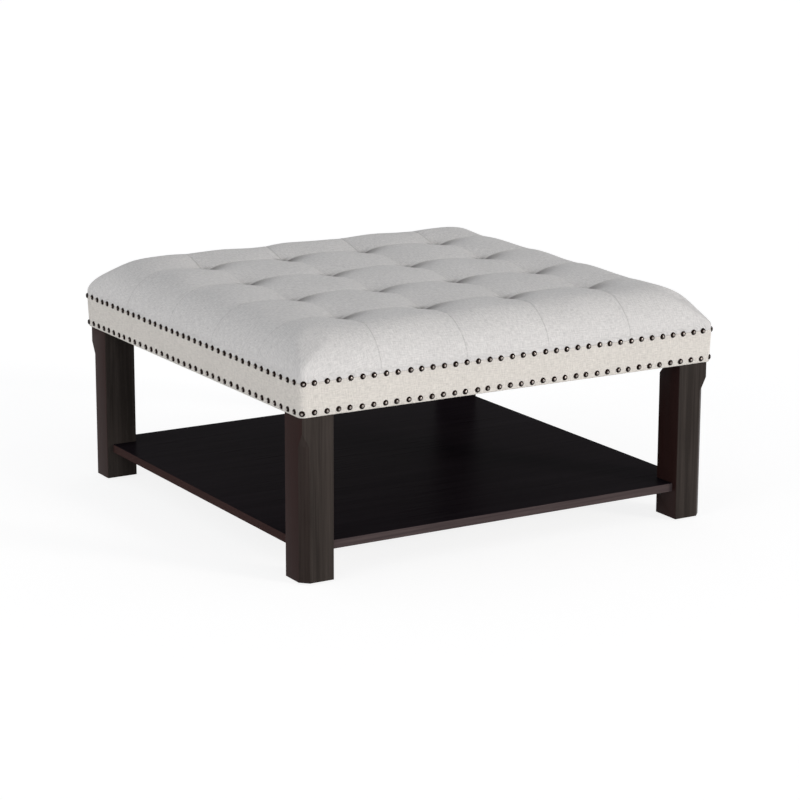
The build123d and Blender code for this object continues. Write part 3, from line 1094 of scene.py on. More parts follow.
    def creases(self, x: np.ndarray, y: np.ndarray) -> np.ndarray:
        """Small folds that run out from the pulls, the same number into each quarter.

        Args:
            x: Grid places along X.
            y: Grid places along Y.

        Returns:
            Their depth.
        """
        draw = np.random.default_rng(self.seed)
        depth = np.zeros_like(x)
        quarters = [quarter for quarter in range(4) for _ in range(self.crease_count)]
        for pull_x, pull_y in self.pulls():
            for quarter in quarters:
                angle = (quarter + draw.uniform(*self.crease_turn)) * TURN / 4
                length = draw.uniform(*self.crease_length)
                width = draw.uniform(*self.crease_width)
                deep = draw.uniform(*self.crease_depth)
                along = (x - pull_x) * math.cos(angle) + (y - pull_y) * math.sin(angle)
                aside = (y - pull_y) * math.cos(angle) - (x - pull_x) * math.sin(angle)
                aside = aside + along**2 * draw.uniform(-self.crease_bend, self.crease_bend)
                fade = smooth_step(along / self.crease_start) * (1 - smooth_step(along / length))
                depth += deep * fade * bell(aside, width + along * self.crease_spread)
        return depth

    def painted_shade(self, x: np.ndarray, y: np.ndarray) -> np.ndarray:
        """Painted shade along the seams, in and round each pull, in a slit behind it and in its lee, where
        shade falls.

        Args:
            x: Grid places along X.
            y: Grid places along Y.

        Returns:
            A share from 0 to 1.
        """
        shade = np.zeros_like(x)
        for along, across, dark in zip((x, y), (y, x), self.seam_shade):
            shade += dark * self.outer(across, self.seam_start) * bell(self.away(along), self.seam_line)
        ring, length = self.nip_reach
        for pull_x, pull_y in self.pulls():
            aside, behind = x - pull_x, y - pull_y
            around = bell(np.hypot(aside, behind), ring)
            down = bell(aside, self.nip_width) * bell(behind, length)
            down = down * smooth_step((self.nip_end - behind) / self.nip_end)
            slit = bell(behind - self.slit_behind, self.slit_width) * bell(aside + self.slit_aside, ring)
            lee = smooth_step(aside / self.lee_start) * smooth_step((self.nip_end - behind) / self.lee_end)
            lee = lee * bell(aside, self.lee_reach[0]) * bell(behind, self.lee_reach[1])
            shade += down + slit + self.nip_ring * around + lee
        return np.clip(shade, 0, 1)

    def swell(self, x: np.ndarray, y: np.ndarray) -> np.ndarray:
        """Broad unevenness of the wadding.

        Args:
            x: Grid places along X.
            y: Grid places along Y.

        Returns:
            Its height.
        """
        draw = np.random.default_rng(self.seed + 1)
        lift = np.zeros_like(x)
        for _ in range(self.swell_waves):
            angle, phase = draw.uniform(0, TURN, 2)
            wave = TURN / draw.uniform(*self.swell_length)
            lift += np.sin((x * math.cos(angle) + y * math.sin(angle)) * wave + phase)
        return lift * self.swell_height

    def formed(self, x: np.ndarray, y: np.ndarray) -> np.ndarray:
        """The cover as cut and tufted, before the wadding pushes.

        Args:
            x: Grid places along X.
            y: Grid places along Y.

        Returns:
            The points.
        """
        points, share = self.base(*self.drifted(x, y))
        depth = self.sunk(x, y, share) + self.creases(x, y) - self.swell(x, y) * share
        return points - self.normals(points) * depth[..., None]

    def held(self, x: np.ndarray, y: np.ndarray) -> np.ndarray:
        """How firmly the cloth is held: wholly at the pulls and the rim, partly along the folds.

        Args:
            x: Grid places along X.
            y: Grid places along Y.

        Returns:
            A share from 0 to 1.
        """
        away_x, away_y = self.away(x), self.away(y)
        seams = self.seam_hold[0] * bell(away_x, self.seam_grip)
        seams = seams + self.seam_hold[1] * bell(away_y, self.seam_grip)
        pulls = np.hypot(away_x, away_y) < self.pull_grip
        rim = np.maximum(np.abs(x), np.abs(y)) > self.half - self.rim_grip
        return np.where(pulls | rim, 1.0, seams)

    def pressed(self, start: np.ndarray, hold: np.ndarray) -> np.ndarray:
        """Simulates the cloth under the wadding's pressure.

        Args:
            start: A grid of points.
            hold: How firmly each is held.

        Returns:
            The points at the end.
        """
        faces = grid_faces(grid_numbers(len(start))).reshape(-1, 4).tolist()
        piece = Bench.from_arrays("settling_cloth", start.reshape(-1, 3), faces)
        group = piece.vertex_groups.new(name="held")
        for place, weight in enumerate(hold.ravel()):
            if weight > self.least_hold:
                group.add([place], float(weight), "REPLACE")
        cloth = piece.modifiers.new("cloth", "CLOTH")
        settings = {
            "vertex_group_mass": group.name, "quality": 5, "mass": 0.15, "tension_stiffness": 18,
            "compression_stiffness": 18, "shear_stiffness": 8, "bending_stiffness": 2.0,
            "use_pressure": True, "uniform_pressure_force": self.swell_force,
        }
        for key, value in settings.items():
            setattr(cloth.settings, key, value)
        cloth.settings.effector_weights.gravity = 0
        cloth.collision_settings.use_collision = False
        cloth.point_cache.frame_start = 1
        cloth.point_cache.frame_end = self.frames
        for number in range(1, self.frames + 1):
            bpy.context.scene.frame_set(number)
        Bench.pick(piece)
        bpy.ops.object.modifier_apply(modifier=cloth.name)
        ended = np.empty(start.size, np.float32)
        piece.data.vertices.foreach_get("co", ended)
        bpy.context.scene.frame_set(1)
        mesh = piece.data
        bpy.data.objects.remove(piece)
        bpy.data.meshes.remove(mesh)
        return ended.reshape(start.shape).astype(float)

    def settled(self, line: np.ndarray) -> np.ndarray:
        """Lets the wadding push the cloth out between its folds, on a rougher grid.

        Args:
            line: The fine grid's places along one side.

        Returns:
            How far every point of the fine grid moves.
        """
        few = replace(
            self, coarse=self.rough_coarse, fine=self.rough_fine, border_steps=self.rough_steps
        ).lines()
        x, y = np.meshgrid(few, few, indexing="ij")
        start = self.formed(x, y)
        moved = self.pressed(start, self.held(x, y)) - start
        reach = np.linalg.norm(moved, axis=-1, keepdims=True)
        most, mean = reach.max() * 1000, reach.mean() * 1000
        LOG.info("wadding swells by up to %.1f mm, %.1f mm on average", most, mean)
        moved *= self.swell_cap * np.tanh(reach / self.swell_cap) / np.maximum(reach, TINY)
        outward = np.maximum(np.abs(x), np.abs(y)) - self.half + self.border
        over = smooth_step(outward / self.side_reach)
        moved *= (1 - (1 - self.border_swell) * over)[..., None]
        return between(between(moved, few, line).swapaxes(0, 1), few, line).swapaxes(0, 1)

    def rings(self) -> list[tuple[float, float, float]]:
        """The edges below the grid: down to the joint, under the hem and up round the foam's hollow.

        Returns:
            Each ring's inset, corner radius and height.
        """
        foot = self.joint + self.hem_lift
        outside = [(0.0, self.joint + rise) for rise in self.skirt_rises]
        turned_in = [(self.hem_ease, foot), (self.hem, foot), (self.hem, self.deck_top)]
        hollow = [
            (self.foam_inset, self.deck_top),
            (self.foam_inset, self.foam_top - self.foam_chamfer),
            (self.foam_inset + self.foam_chamfer, self.foam_top),
        ]
        wall = [(inset, self.corner_radius - inset, z) for inset, z in outside + turned_in]
        return wall + [(inset, self.foam_corner - inset, z) for inset, z in hollow]

    def ring(self, plan: np.ndarray, inset: float, radius: float) -> np.ndarray:
        """Moves the rim to a smaller rounded square.

        Args:
            plan: The rim's grid places.
            inset: How far in the ring lies.
            radius: Its corner radius.

        Returns:
            The ring's places.
        """
        away = self.half - np.abs(plan)
        far = away.max(1)
        angle = math.pi / 4 * np.clip(1 - far / radius, 0, 1)
        turned = far < radius
        straight = (far - radius) * (self.half - inset - radius) / (self.half - radius)
        new_near = np.where(turned, inset + radius * (1 - np.cos(angle)), inset)
        new_far = np.where(turned, inset + radius * (1 - np.sin(angle)), inset + radius + straight)
        x_is_near = (away[:, 0] <= away[:, 1])[:, None]
        moved = np.where(x_is_near, np.stack([new_near, new_far], -1), np.stack([new_far, new_near], -1))
        return np.sign(plan) * (self.half - moved)

    @staticmethod
    def run(points: np.ndarray, axis: int) -> np.ndarray:
        """Length along the cloth from the grid's middle line.

        Args:
            points: The grid's points.
            axis: The way of the grid that is followed.

        Returns:
            One length per point.
        """
        step = np.linalg.norm(np.diff(points, axis=axis), axis=-1)
        run = np.concatenate([np.zeros_like(np.take(step, [0], axis)), np.cumsum(step, axis)], axis)
        return run - np.take(run, [run.shape[axis] // 2], axis)

    def build(self, finish: bpy.types.Material) -> bpy.types.Object:
        """Makes the cover.

        Args:
            finish: The cloth.

        Returns:
            The piece.
        """
        line = self.lines()
        x, y = np.meshgrid(line, line, indexing="ij")
        points = self.formed(x, y)
        points = points + self.settled(line)
        points[..., :2] += np.stack(self.closed(x, y), -1)
        cloth = np.stack([self.run(points, 0), self.run(points, 1)], -1).reshape(-1, 2)
        number = grid_numbers(len(line))
        rim = np.concatenate([number[:-1, 0], number[-1, :-1], number[:0:-1, -1], number[0, :0:-1]])
        plan = np.stack([x.ravel()[rim], y.ravel()[rim]], -1)
        rows, maps = [points.reshape(-1, 3)], [cloth]
        sides = grid_faces(number).reshape(-1, 4).tolist()
        last, total = rim, number.size
        for inset, radius, height in self.rings():
            rows.append(np.column_stack([self.ring(plan, inset, radius), np.full(len(rim), height)]))
            maps.append(cloth[rim])
            new = np.arange(total, total + len(rim))
            sides += np.stack([last, new, np.roll(new, -1), np.roll(last, -1)], -1).tolist()
            last = new
            total += len(rim)
        sides.append(last.tolist())
        piece = Bench.from_arrays("cushion_linen", np.concatenate(rows), sides)
        Bench.lay_cloth(piece, np.concatenate(maps))
        # Paints the shade of the seams and pulls onto the cover's top, for the linen to darken
        shade = np.concatenate([self.painted_shade(x, y).ravel(), np.zeros(total - number.size)])
        Bench.paint(piece, FOLD_SHADE_MAP, shade)
        Bench.face_out(piece)
        Bench.shade(piece, self.smooth)
        Bench.hand_in(piece, finish, "cushion_linen", ["cushion_cover"])
        return piece


@dataclass
class Band:
    """The linen band round the frame, folded over at its top and turned under at its bottom."""

    frame_half: float = 0.4522
    frame_radius: float = 0.008
    top: float = 0.3771
    bottom: float = 0.3135
    top_thickness: float = 0.005
    bottom_thickness: float = 0.0023
    gap: float = 0.0002
    face_ends: Pair = (0.0005, 0.0014)
    flat_height: float = 0.066
    columns: int = 1300
    rows: int = 22
    wave_count: int = 12
    wave_rate: Pair = (20, 90)
    wave_tilt: Pair = (-60, 60)
    wave_height: float = 0.00006
    smooth: float = 50
    seed: int = 11

    @property
    def lean(self) -> float:
        """How much the band draws in per length down."""
        return (self.top_thickness - self.bottom_thickness) / (self.top - self.bottom)

    def outset(self, height: float) -> float:
        """How far the cloth stands off the frame at a height."""
        share = (height - self.bottom) / (self.top - self.bottom)
        return self.bottom_thickness + (self.top_thickness - self.bottom_thickness) * share

    def outline(self, out: float) -> Outline:
        """The frame's outline, let out by a distance."""
        return Outline(self.frame_half + out, self.frame_radius + out)

    def profile(self) -> list[tuple[float, float]]:
        """The band's section, from its upper edge on the frame down its face and back to the frame.

        Returns:
            Distances off the frame, with their heights.
        """
        fold = [(self.gap, self.top - self.gap), (self.top_thickness - 2 * self.gap, self.top)]
        upper, lower = self.face_ends
        heights = np.linspace(self.top - upper, self.bottom + lower, self.rows)
        hem = [(self.outset(self.bottom) - 4 * self.gap, self.bottom + self.gap)]
        return fold + [(self.outset(z), z) for z in heights] + hem + [(self.gap, self.bottom + self.gap / 2)]

    def build(self, finish: bpy.types.Material) -> bpy.types.Object:
        """Makes the band.

        Args:
            finish: The cloth.

        Returns:
            The piece.
        """
        profile = self.profile()
        draw = np.random.default_rng(self.seed)
        waves = [
            (draw.uniform(*self.wave_rate), draw.uniform(0, TURN), draw.uniform(*self.wave_tilt))
            for _ in range(self.wave_count)
        ]
        face = range(2, 2 + self.rows)
        rings, maps, run = [], [], 0.0
        for number, (out, z) in enumerate(profile):
            outline = self.outline(out)
            travel = np.linspace(0, outline.around, self.columns, endpoint=False)
            place, normal = outline.at(travel)
            if number in face:
                wave = sum(np.sin(travel * rate + phase + z * tilt) for rate, phase, tilt in waves)
                place = place + normal * (wave * self.wave_height)[:, None]
            if number:
                run += math.dist((out, z), profile[number - 1])
            rings.append(np.column_stack([place, np.full(self.columns, z)]))
            maps.append(np.column_stack([travel, np.full(self.columns, run)]))
        faces = []
        for row in range(len(rings)):
            first = row * self.columns + np.arange(self.columns)
            second = (row + 1) % len(rings) * self.columns + np.arange(self.columns)
            faces += np.stack([first, np.roll(first, -1), np.roll(second, -1), second], -1).tolist()
        piece = Bench.from_arrays("band_linen", np.concatenate(rings), faces)
        Bench.lay_cloth(piece, np.concatenate(maps))
        Bench.face_out(piece)
        Bench.shade(piece, self.smooth)
        Bench.hand_in(piece, finish, "band_linen", ["apron_cover"])
        self.outline(0).around
        return piece


@dataclass
class NailRow:
    """One row of domed nails on the band, counted on the front and the left and spread evenly behind."""

    name: str
    band: Band
    height: float
    lean: float
    seed: int
    radius: float = 0.0058
    rise: float = 0.0036
    facets: int = 10
    bands: int = 6
    # Height share where the crown's rubbed metal and painted highlight begin
    rubbed_highlight: float = 0.87
    front_count: int = 38
    left_count: int = 37
    other_count: int = 76
    front_start: float = -0.0065
    front_end: float = 0.9011
    left_start: float = 2.7234
    left_end: float = 3.6068
    wander: float = 0.0006
    bob: float = 0.00036
    tilt: float = 0.03
    sunk: float = 0.0003
    smooth: float = 80

    def travel(self) -> np.ndarray:
        """Where the nails stand along the upper row's outline.

        Returns:
            Distances from the front's left end.
        """
        return np.concatenate([
            np.linspace(self.front_start, self.front_end, self.front_count),
            np.linspace(self.front_end, self.left_start, self.other_count)[1:-1],
            np.linspace(self.left_start, self.left_end, self.left_count),
        ])

    def head(self) -> bpy.types.Object:
        """Models one nail's dome, standing on Z and marked on its crown for rubbed metal and a painted
        highlight.

        Returns:
            The dome.
        """
        dome = Bench.half_ball(self.facets, self.bands, self.radius, self.rise, True)
        heights = np.array([point.co.z / self.rise for point in dome.data.vertices])
        # Marks the crown, for the rubbed metal and the painted highlight
        Bench.paint(dome, RUB_HIGHLIGHT_MAP, smooth_step((heights - self.rubbed_highlight) / (1 - self.rubbed_highlight)))
        return dome

    def build(self, finish: bpy.types.Material, node: str) -> bpy.types.Object:
        """Makes the row.

        Args:
            finish: The metal.
            node: The node that it stands for.

        Returns:
            The piece.
        """
        draw = np.random.default_rng(self.seed)
        outline = self.band.outline(self.band.outset(self.height))
        travel = self.travel() * outline.around / self.band.outline(self.band.top_thickness).around
        travel = travel + draw.normal(0, self.wander, len(travel))
        place, normal = outline.at(travel)
        dome = self.head()
        copies = []
        for spot, out in zip(place, normal):
            up = Vector((out[0], out[1], -self.lean)).normalized()
            up = (up + Vector(draw.normal(0, self.tilt, 3))).normalized()
            turn = up.to_track_quat("Z", "X").to_matrix() @ Matrix.Rotation(draw.uniform(0, TURN), 3, "Z")
            height = self.height + draw.normal(0, self.bob)
            centre = Matrix.Translation((*(spot - out * self.sunk), height))
            copies.append(Bench.copy(dome, centre @ turn.to_4x4()))
        piece = Bench.joined(self.name, dome, copies)
        Bench.shade(piece, self.smooth)
        return Bench.hand_in(piece, finish, "aged_bronze", [node])


@dataclass
class Leg:
    """A leg with its edges eased."""

    easing: float = 0.0009
    flat_degrees: float = 2
    edge_degrees: float = 24
    smooth: float = 30

    def build(self, corner: Corner, finish: bpy.types.Material) -> bpy.types.Object:
        """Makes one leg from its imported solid.

        Args:
            corner: The leg's corner.
            finish: The stained wood.

        Returns:
            The piece.
        """
        node = f"leg_{corner.label}"
        piece = Bench.placed(f"leg_eased_{corner.label}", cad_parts[node].data.copy())
        with Bench.editing(piece):
            bpy.ops.mesh.remove_doubles(threshold=HAIR)
            bpy.ops.mesh.customdata_custom_splitnormals_clear()
            bpy.ops.mesh.dissolve_limited(angle_limit=math.radians(self.flat_degrees))
        Bench.ease(piece, self.easing, 2, self.edge_degrees)
        Bench.apply(piece)
        Bench.shade(piece, self.smooth)
        # Marks the faces that look along X, for the stain's painted shade
        sides = np.array([abs(face.normal.x) ** 4 for face in piece.data.polygons])
        Bench.paint(piece, SIDE_SHADE_MAP, sides, "FACE")
        return Bench.hand_in(piece, finish, "stained_leg", [node])


@dataclass(frozen=True)
class Lamp:
    """A far, soft lamp: strength, degrees round from the front, height and width in degrees."""

    name: str
    colour: Colour
    strength: float
    side: float
    height: float
    width: float

    def place(self) -> None:
        """Hangs the lamp."""
        lamp = bpy.data.lights.new(self.name, "SUN")
        lamp.energy = self.strength
        lamp.color = self.colour
        lamp.angle = math.radians(self.width)
        holder = Bench.placed(self.name, lamp)
        side, height = math.radians(self.side), math.radians(self.height)
        level = math.cos(height)
        source = Vector((math.sin(side) * level, -math.cos(side) * level, math.sin(height)))
        holder.rotation_mode = "QUATERNION"
        holder.rotation_quaternion = source.to_track_quat("Z", "Y")


@dataclass
class Studio:
    """A white floor, soft lamps and a camera where the photograph was taken."""

    place: Triple = (-2.6624, -4.4914, 1.4808)
    yaw: float = 30.871
    pitch: float = 13.827
    roll: float = 0.182
    lens: float = 120.36
    sensor: float = 36.0
    clip: Pair = (0.05, 200.0)
    sky: Colour = (0.965, 0.99, 1.03)
    sky_strength: float = 1.09
    zenith_share: float = 0.12
    lamps: tuple[Lamp, ...] = (
        Lamp("key", (1.0, 0.94, 0.89), 1.36, 34.0, 15.0, 14.0),
        Lamp("fill", (1.0, 0.94, 0.895), 0.56, -80.0, 16.0, 40.0),
        Lamp("low", (0.96, 0.98, 1.0), 0.42, -8.0, 2.0, 20.0),
    )
    floor_glow: float = 0.84
    floor_white: Colour = (0.28, 0.28, 0.28)
    floor_plain: Colour = (0.8, 0.8, 0.8)
    floor_span: float = 80.0
    floor_drop: float = 0.0002

    def camera(self) -> None:
        """Puts the camera in its place."""
        camera = bpy.data.cameras.new("camera")
        camera.lens = self.lens
        camera.sensor_width = self.sensor
        camera.clip_start, camera.clip_end = self.clip
        holder = Bench.placed("camera", camera)
        turn = (
            Matrix.Rotation(-math.radians(self.yaw), 4, "Z")
            @ Matrix.Rotation(math.radians(90 - self.pitch), 4, "X")
            @ Matrix.Rotation(math.radians(self.roll), 4, "Z")
        )
        holder.matrix_world = Matrix.Translation(self.place) @ turn
        bpy.context.scene.camera = holder

    @staticmethod
    def _seen(tree: Tree) -> Wire:
        """One for what the camera, a gloss or a glass sees, and nothing for plain light."""
        rays = ("Is Camera Ray", "Is Glossy Ray", "Is Transmission Ray")
        return sum(tree.node("ShaderNodeLightPath", {}, {}, ray) for ray in rays).over(0.5, 0.1)

    def light(self) -> None:
        """Makes the sky and hangs the lamps."""
        world = bpy.data.worlds.new("studio")
        bpy.context.scene.world = world
        tree = Tree(world)
        rise = tree.node("ShaderNodeTexCoord", {}, {}, "Generated").part("Z")
        fade = self.sky_strength * (1 - abs(rise) * (1 - self.zenith_share))
        lit = tree.node("ShaderNodeBackground", {}, {"Color": self.sky, "Strength": fade})
        white = tree.node("ShaderNodeBackground", {}, {"Color": WHITE, "Strength": 1.0})
        both = tree.node("ShaderNodeMixShader", {}, {0: self._seen(tree), 1: lit, 2: white})
        tree.node("ShaderNodeOutputWorld", {}, {"Surface": both})
        for lamp in self.lamps:
            lamp.place()

    def floor(self) -> None:
        """Lays the floor, which is white to the eye, plain to the light and clear from below."""
        Bench.clear()
        bpy.ops.mesh.primitive_plane_add(size=self.floor_span, location=(0, 0, -self.floor_drop))
        floor = bpy.context.object
        floor.name = "floor"
        tree = Tree.of("floor")
        shade = tree.node("ShaderNodeBsdfDiffuse", {}, {"Color": self.floor_white})
        glow = tree.node("ShaderNodeEmission", {}, {"Color": WHITE, "Strength": self.floor_glow})
        pale = tree.node("ShaderNodeAddShader", {}, {0: shade, 1: glow})
        plain = tree.node("ShaderNodeBsdfDiffuse", {}, {"Color": self.floor_plain})
        both = tree.node("ShaderNodeMixShader", {}, {0: self._seen(tree), 1: plain, 2: pale})
        clear = tree.node("ShaderNodeBsdfTransparent")
        below = tree.node("ShaderNodeNewGeometry", {}, {}, "Backfacing")
        one_sided = tree.node("ShaderNodeMixShader", {}, {0: below, 1: both, 2: clear})
        tree.node("ShaderNodeOutputMaterial", {}, {"Surface": one_sided})
        floor.data.materials.append(tree.owner)

    def build(self) -> None:
        """Makes the studio."""
        bpy.context.scene.view_settings.view_transform = "Standard"
        self.camera()
        self.light()
        self.floor()


@dataclass
class DustCover:
    """The thin cloth stapled under the frame, turned in at its edges, cut out for the legs and sagging."""

    half: float = 0.4422
    leg_cut: float = 0.38295
    cut_rows: Pair = (0.012, 0.028)
    hem: float = 0.011
    hem_edge: float = 0.0006
    hem_roll: float = 0.004
    hem_step: float = 0.0002
    rail: float = 0.3135
    thickness: float = 0.0008
    sag: float = 0.0035
    pucker: float = 0.0007
    pucker_start: float = 0.006
    pucker_reach: float = 0.022
    staple_pitch: float = 0.058
    staple_inset: float = 0.0055
    staple_end: float = 0.014
    staple_stray: Pair = (0.008, 0.0012)
    staple_skew: float = 0.35
    staple_ease: float = 0.0002
    staple: Triple = (0.0100, 0.0012, 0.0007)
    cells: int = 96
    smooth: float = 40
    seed: int = 21

    def lines(self) -> np.ndarray:
        """Places of the grid's lines along one side.

        Returns:
            The places, in order.
        """
        edge = self.half - self.hem
        inner = np.linspace(-self.leg_cut, self.leg_cut, self.cells + 1)
        cut = [self.leg_cut + row for row in self.cut_rows]
        side = np.array([*cut, edge - self.hem_edge, edge, self.half - self.hem_roll, self.half])
        return np.concatenate([-side[::-1], inner, side])

    def height(self, x: np.ndarray, y: np.ndarray) -> np.ndarray:
        """The cloth's underside over the plan.

        Args:
            x: Places along X.
            y: Places along Y.

        Returns:
            The heights.
        """
        inside = self.half - np.maximum(np.abs(x), np.abs(y)) - self.hem
        single = smooth_step(inside / self.hem_edge + 1)
        free = self.half - self.hem
        bowl = (1 - (x / free) ** 2) * (1 - (y / free) ** 2)
        along = np.where(np.abs(x) > np.abs(y), y, x)
        ripple = np.abs(np.sin(along * math.pi / self.staple_pitch))
        reach = np.exp(-np.clip(inside, 0, 1) / self.pucker_reach) * smooth_step(inside / self.pucker_start)
        low = self.sag * np.clip(bowl, 0, 1) + self.pucker * ripple * reach
        return self.rail - self.thickness - low + self.hem_step * single

    def build(self, finish: bpy.types.Material, metal: bpy.types.Material) -> None:
        """Makes the cloth and its staples.

        Args:
            finish: The cloth.
            metal: The staples' steel.
        """
        line = self.lines()
        x, y = np.meshgrid(line, line, indexing="ij")
        points = np.stack([x, y, self.height(x, y)], -1).reshape(-1, 3)
        outside = np.abs((line[1:] + line[:-1]) / 2) > self.leg_cut
        kept = ~(outside[:, None] & outside[None, :])
        piece = Bench.from_arrays("dust_cloth", points, grid_faces(grid_numbers(len(line)))[kept].tolist())
        with Bench.editing(piece):
            bpy.ops.mesh.delete_loose()
        solid = piece.modifiers.new("thickness", "SOLIDIFY")
        solid.thickness = self.thickness - self.hem_step
        solid.offset = 1.0
        Bench.apply(piece)
        Bench.face_out(piece)
        Bench.shade(piece, self.smooth)
        Bench.hand_in(piece, finish, "dust_cloth", ["dust_cover"])
        2 * self.half
        2 * self.half
        self.staples(metal)

    def staples(self, metal: bpy.types.Material) -> bpy.types.Object:
        """Models one staple and sets its copies round the cloth's edge.

        Args:
            metal: The steel.

        Returns:
            The piece.
        """
        Bench.clear()
        bpy.ops.mesh.primitive_cube_add(size=1)
        bar = bpy.context.object
        bar.scale = self.staple
        bpy.ops.object.transform_apply(location=True, rotation=True, scale=True)
        Bench.ease(bar, self.staple_ease)
        Bench.apply(bar)
        draw = np.random.default_rng(self.seed)
        end = self.leg_cut - self.staple_end
        count = int(2 * end / self.staple_pitch)
        stray, wander = self.staple_stray
        copies = []
        for side in range(4):
            for spot in np.linspace(-end, end, count):
                away = -self.half + self.staple_inset + draw.uniform(-wander, wander)
                place = Vector((spot + draw.uniform(-stray, stray), away, self.rail - self.thickness))
                skew = Matrix.Rotation(draw.uniform(-self.staple_skew, self.staple_skew), 4, "Z")
                turn = Matrix.Rotation(side * TURN / 4, 4, "Z")
                copies.append(Bench.copy(bar, turn @ Matrix.Translation(place) @ skew))
        piece = Bench.joined("dust_cloth_staples", bar, copies)
        return Bench.hand_in(piece, metal, "zinc_steel", [])


@dataclass
class BracketScrews:
    """The pan-headed, cross-recessed screws that hold the shelf's brackets."""

    head_radius: float = 0.0040
    head_height: float = 0.0026
    shank_radius: float = 0.0020
    length: float = 0.0130
    recess: Triple = (0.0040, 0.0009, 0.0014)
    facets: int = 20
    rings: int = 8
    shank_facets: int = 12
    shelf_level: float = 0.0549
    slice: float = 0.001
    recess_turn: float = 0.4
    smooth: float = 40

    def model(self) -> bpy.types.Object:
        """Models one screw, its head's underside at the origin and its shank up +Z.

        Returns:
            The screw.
        """
        screw = Bench.half_ball(self.facets, self.rings, self.head_radius, self.head_height, False)
        for turn in (0.0, TURN / 4):
            crown = (0, 0, -self.head_height)
            bpy.ops.mesh.primitive_cube_add(size=1, location=crown, rotation=(0, 0, turn))
            slot = bpy.context.object
            slot.scale = (self.recess[0], self.recess[1], 2 * self.recess[2])
            cut = screw.modifiers.new("cross", "BOOLEAN")
            cut.object = slot
            Bench.pick(screw)
            bpy.ops.object.modifier_apply(modifier=cut.name)
            bpy.data.objects.remove(slot)
        bpy.ops.mesh.primitive_cylinder_add(
            vertices=self.shank_facets, radius=self.shank_radius, depth=self.length,
            location=(0, 0, self.length / 2),
        )
        shank = bpy.context.object
        Bench.pick(screw)
        shank.select_set(True)
        bpy.ops.object.join()
        bpy.ops.object.transform_apply(location=True, rotation=True, scale=True)
        return screw

    def corner_places(self) -> tuple[Matrix, Matrix]:
        """Finds the two screws of one packed corner, the level one in the leg and the one up in the shelf.

        Returns:
            The place of each screw.
        """
        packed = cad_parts["bracket_screws"].data
        places = np.array([tuple(point.co) for point in packed.vertices])
        mine = places[(places[:, 0] > 0) & (places[:, 1] > 0)]
        inward = np.array([1.0, 1.0, 0.0]) / math.sqrt(2)
        rising = mine[mine[:, 2] > self.shelf_level]
        middle = (rising[:, :2].min(0) + rising[:, :2].max(0)) / 2
        level = mine[mine @ inward > (mine @ inward).max() - self.slice]
        flat = (level.min(0) + level.max(0)) / 2
        into_leg = Vector(inward).to_track_quat("Z", "X").to_matrix().to_4x4()
        seat = Matrix.Translation(Vector(flat) - Vector(inward) * self.length)
        up = Matrix.Translation((middle[0], middle[1], places[:, 2].max() - self.length))
        return seat @ into_leg, up @ Matrix.Rotation(self.recess_turn, 4, "Z")

    def build(self, metal: bpy.types.Material) -> bpy.types.Object:
        """Sets two screws in each corner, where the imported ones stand.

        Args:
            metal: The screws' steel.

        Returns:
            The piece.
        """
        places = self.corner_places()
        screw = self.model()
        copies = []
        for corner in Corner:
            side_x, side_y = corner.value
            turn = Matrix.Rotation(math.atan2(side_y, side_x) - TURN / 8, 4, "Z")
            copies += [Bench.copy(screw, turn @ place) for place in places]
        piece = Bench.joined("bracket_screws_crossed", screw, copies)
        Bench.shade(piece, self.smooth)
        return Bench.hand_in(piece, metal, "zinc_steel", ["bracket_screws"])


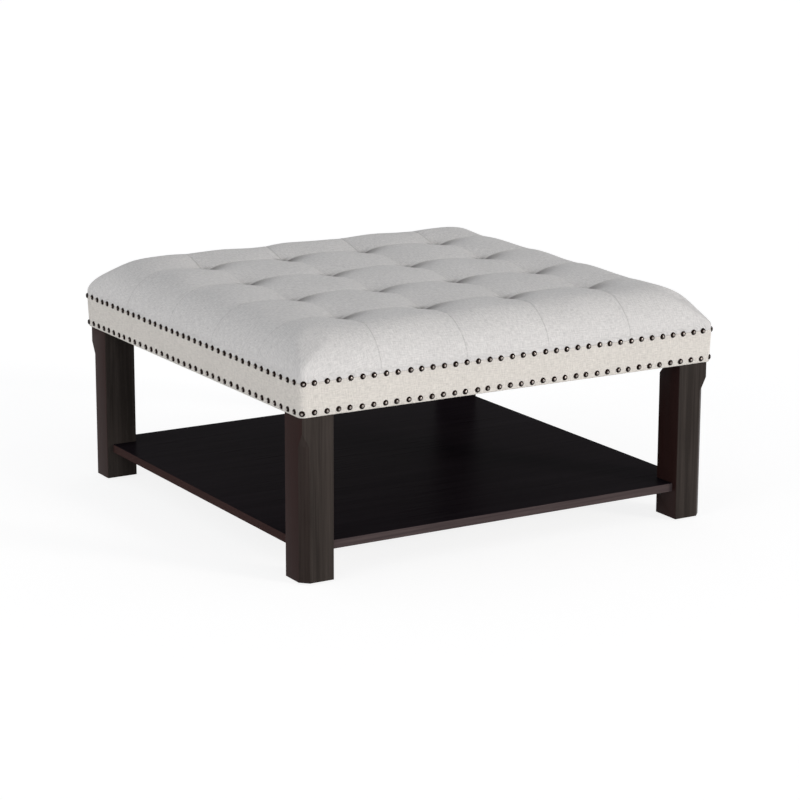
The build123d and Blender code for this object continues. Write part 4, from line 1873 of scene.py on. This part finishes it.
@dataclass
class HiddenParts:
    """The frame inside the cover, the shelf and the fixings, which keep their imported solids."""

    zinc: bpy.types.Material

    def dress(self) -> None:
        """Gives each node the finish of the longest name that its own starts with, or else zinc."""
        pine_x = BareWood("softwood_x", Grain.X).make()
        pine_y = BareWood("softwood_y", Grain.Y).make()
        finishes = {
            # The shelf gets a painted highlight on its front and back edges and painted light on its
            # underside
            "shelf": StainedWood(
                "stained_shelf", Grain.X, (0.0112, 0.0084, 0.0108), (0.0205, 0.0160, 0.0194),
                reach=0.4356, under_level=0.0567, rough=0.3, gloss=0.0006,
            ).make(),
            "deck": BareWood("plywood", Grain.X, (0.66, 0.50, 0.33), (0.52, 0.36, 0.21)).make(),
            "foam_slab": Speckled("foam", (0.80, 0.72, 0.50), (0.70, 0.62, 0.42), 900.0, 0.9).make(),
            "tuft_ties": Speckled("twine", (0.60, 0.52, 0.38), (0.42, 0.35, 0.24), 1500.0, 0.9).make(),
            "shelf_bracket": Speckled(
                "black_steel", (0.02, 0.02, 0.021), (0.05, 0.05, 0.05), 500.0, 0.5
            ).make(),
            "glide": Speckled("glide_plastic", (0.55, 0.53, 0.48), (0.45, 0.43, 0.39), 300.0, 0.5).make(),
            "rail": pine_x,
            "corner_block": pine_x,
            "corner_block_screws": self.zinc,
            "rail_left": pine_y,
            "rail_right": pine_y,
            "centre_rail": pine_y,
        }
        for name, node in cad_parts.items():
            if node.hide_render:
                continue
            known = [start for start in finishes if name.startswith(start)]
            node.data.materials.clear()
            node.data.materials.append(finishes[max(known, key=len)] if known else self.zinc)


def main() -> None:
    """Builds every piece in order."""
    logging.basicConfig(level=logging.INFO, format="%(name)s %(message)s")
    Studio().build()
    linen = Linen().make()
    Cushion().build(linen)
    band = Band()
    band.build(Linen("linen_band", (0.885, 0.845, 0.785), (0.55, 0.525, 0.485)).make())
    bronze = AgedBronze().make()
    lower_row = 0.3221
    NailRow("nails_domed_upper", band, band.top, 0.0, 3).build(bronze, "nails_upper")
    NailRow("nails_domed_lower", band, lower_row, band.lean, 4).build(bronze, "nails_lower")
    leg_finish = StainedWood("stained_leg", Grain.Z).make()
    for corner in Corner:
        Leg().build(corner, leg_finish)
    dust = Speckled("dust_cloth", (0.012, 0.012, 0.013), (0.035, 0.035, 0.036), 1100.0, 0.9).make()
    zinc = Speckled("zinc_steel", (0.62, 0.62, 0.60), (0.48, 0.49, 0.50), 300.0, 0.35, 1.0).make()
    DustCover().build(dust, zinc)
    BracketScrews().build(zinc)
    HiddenParts(zinc).dress()


if __name__ == "__main__":
    main()
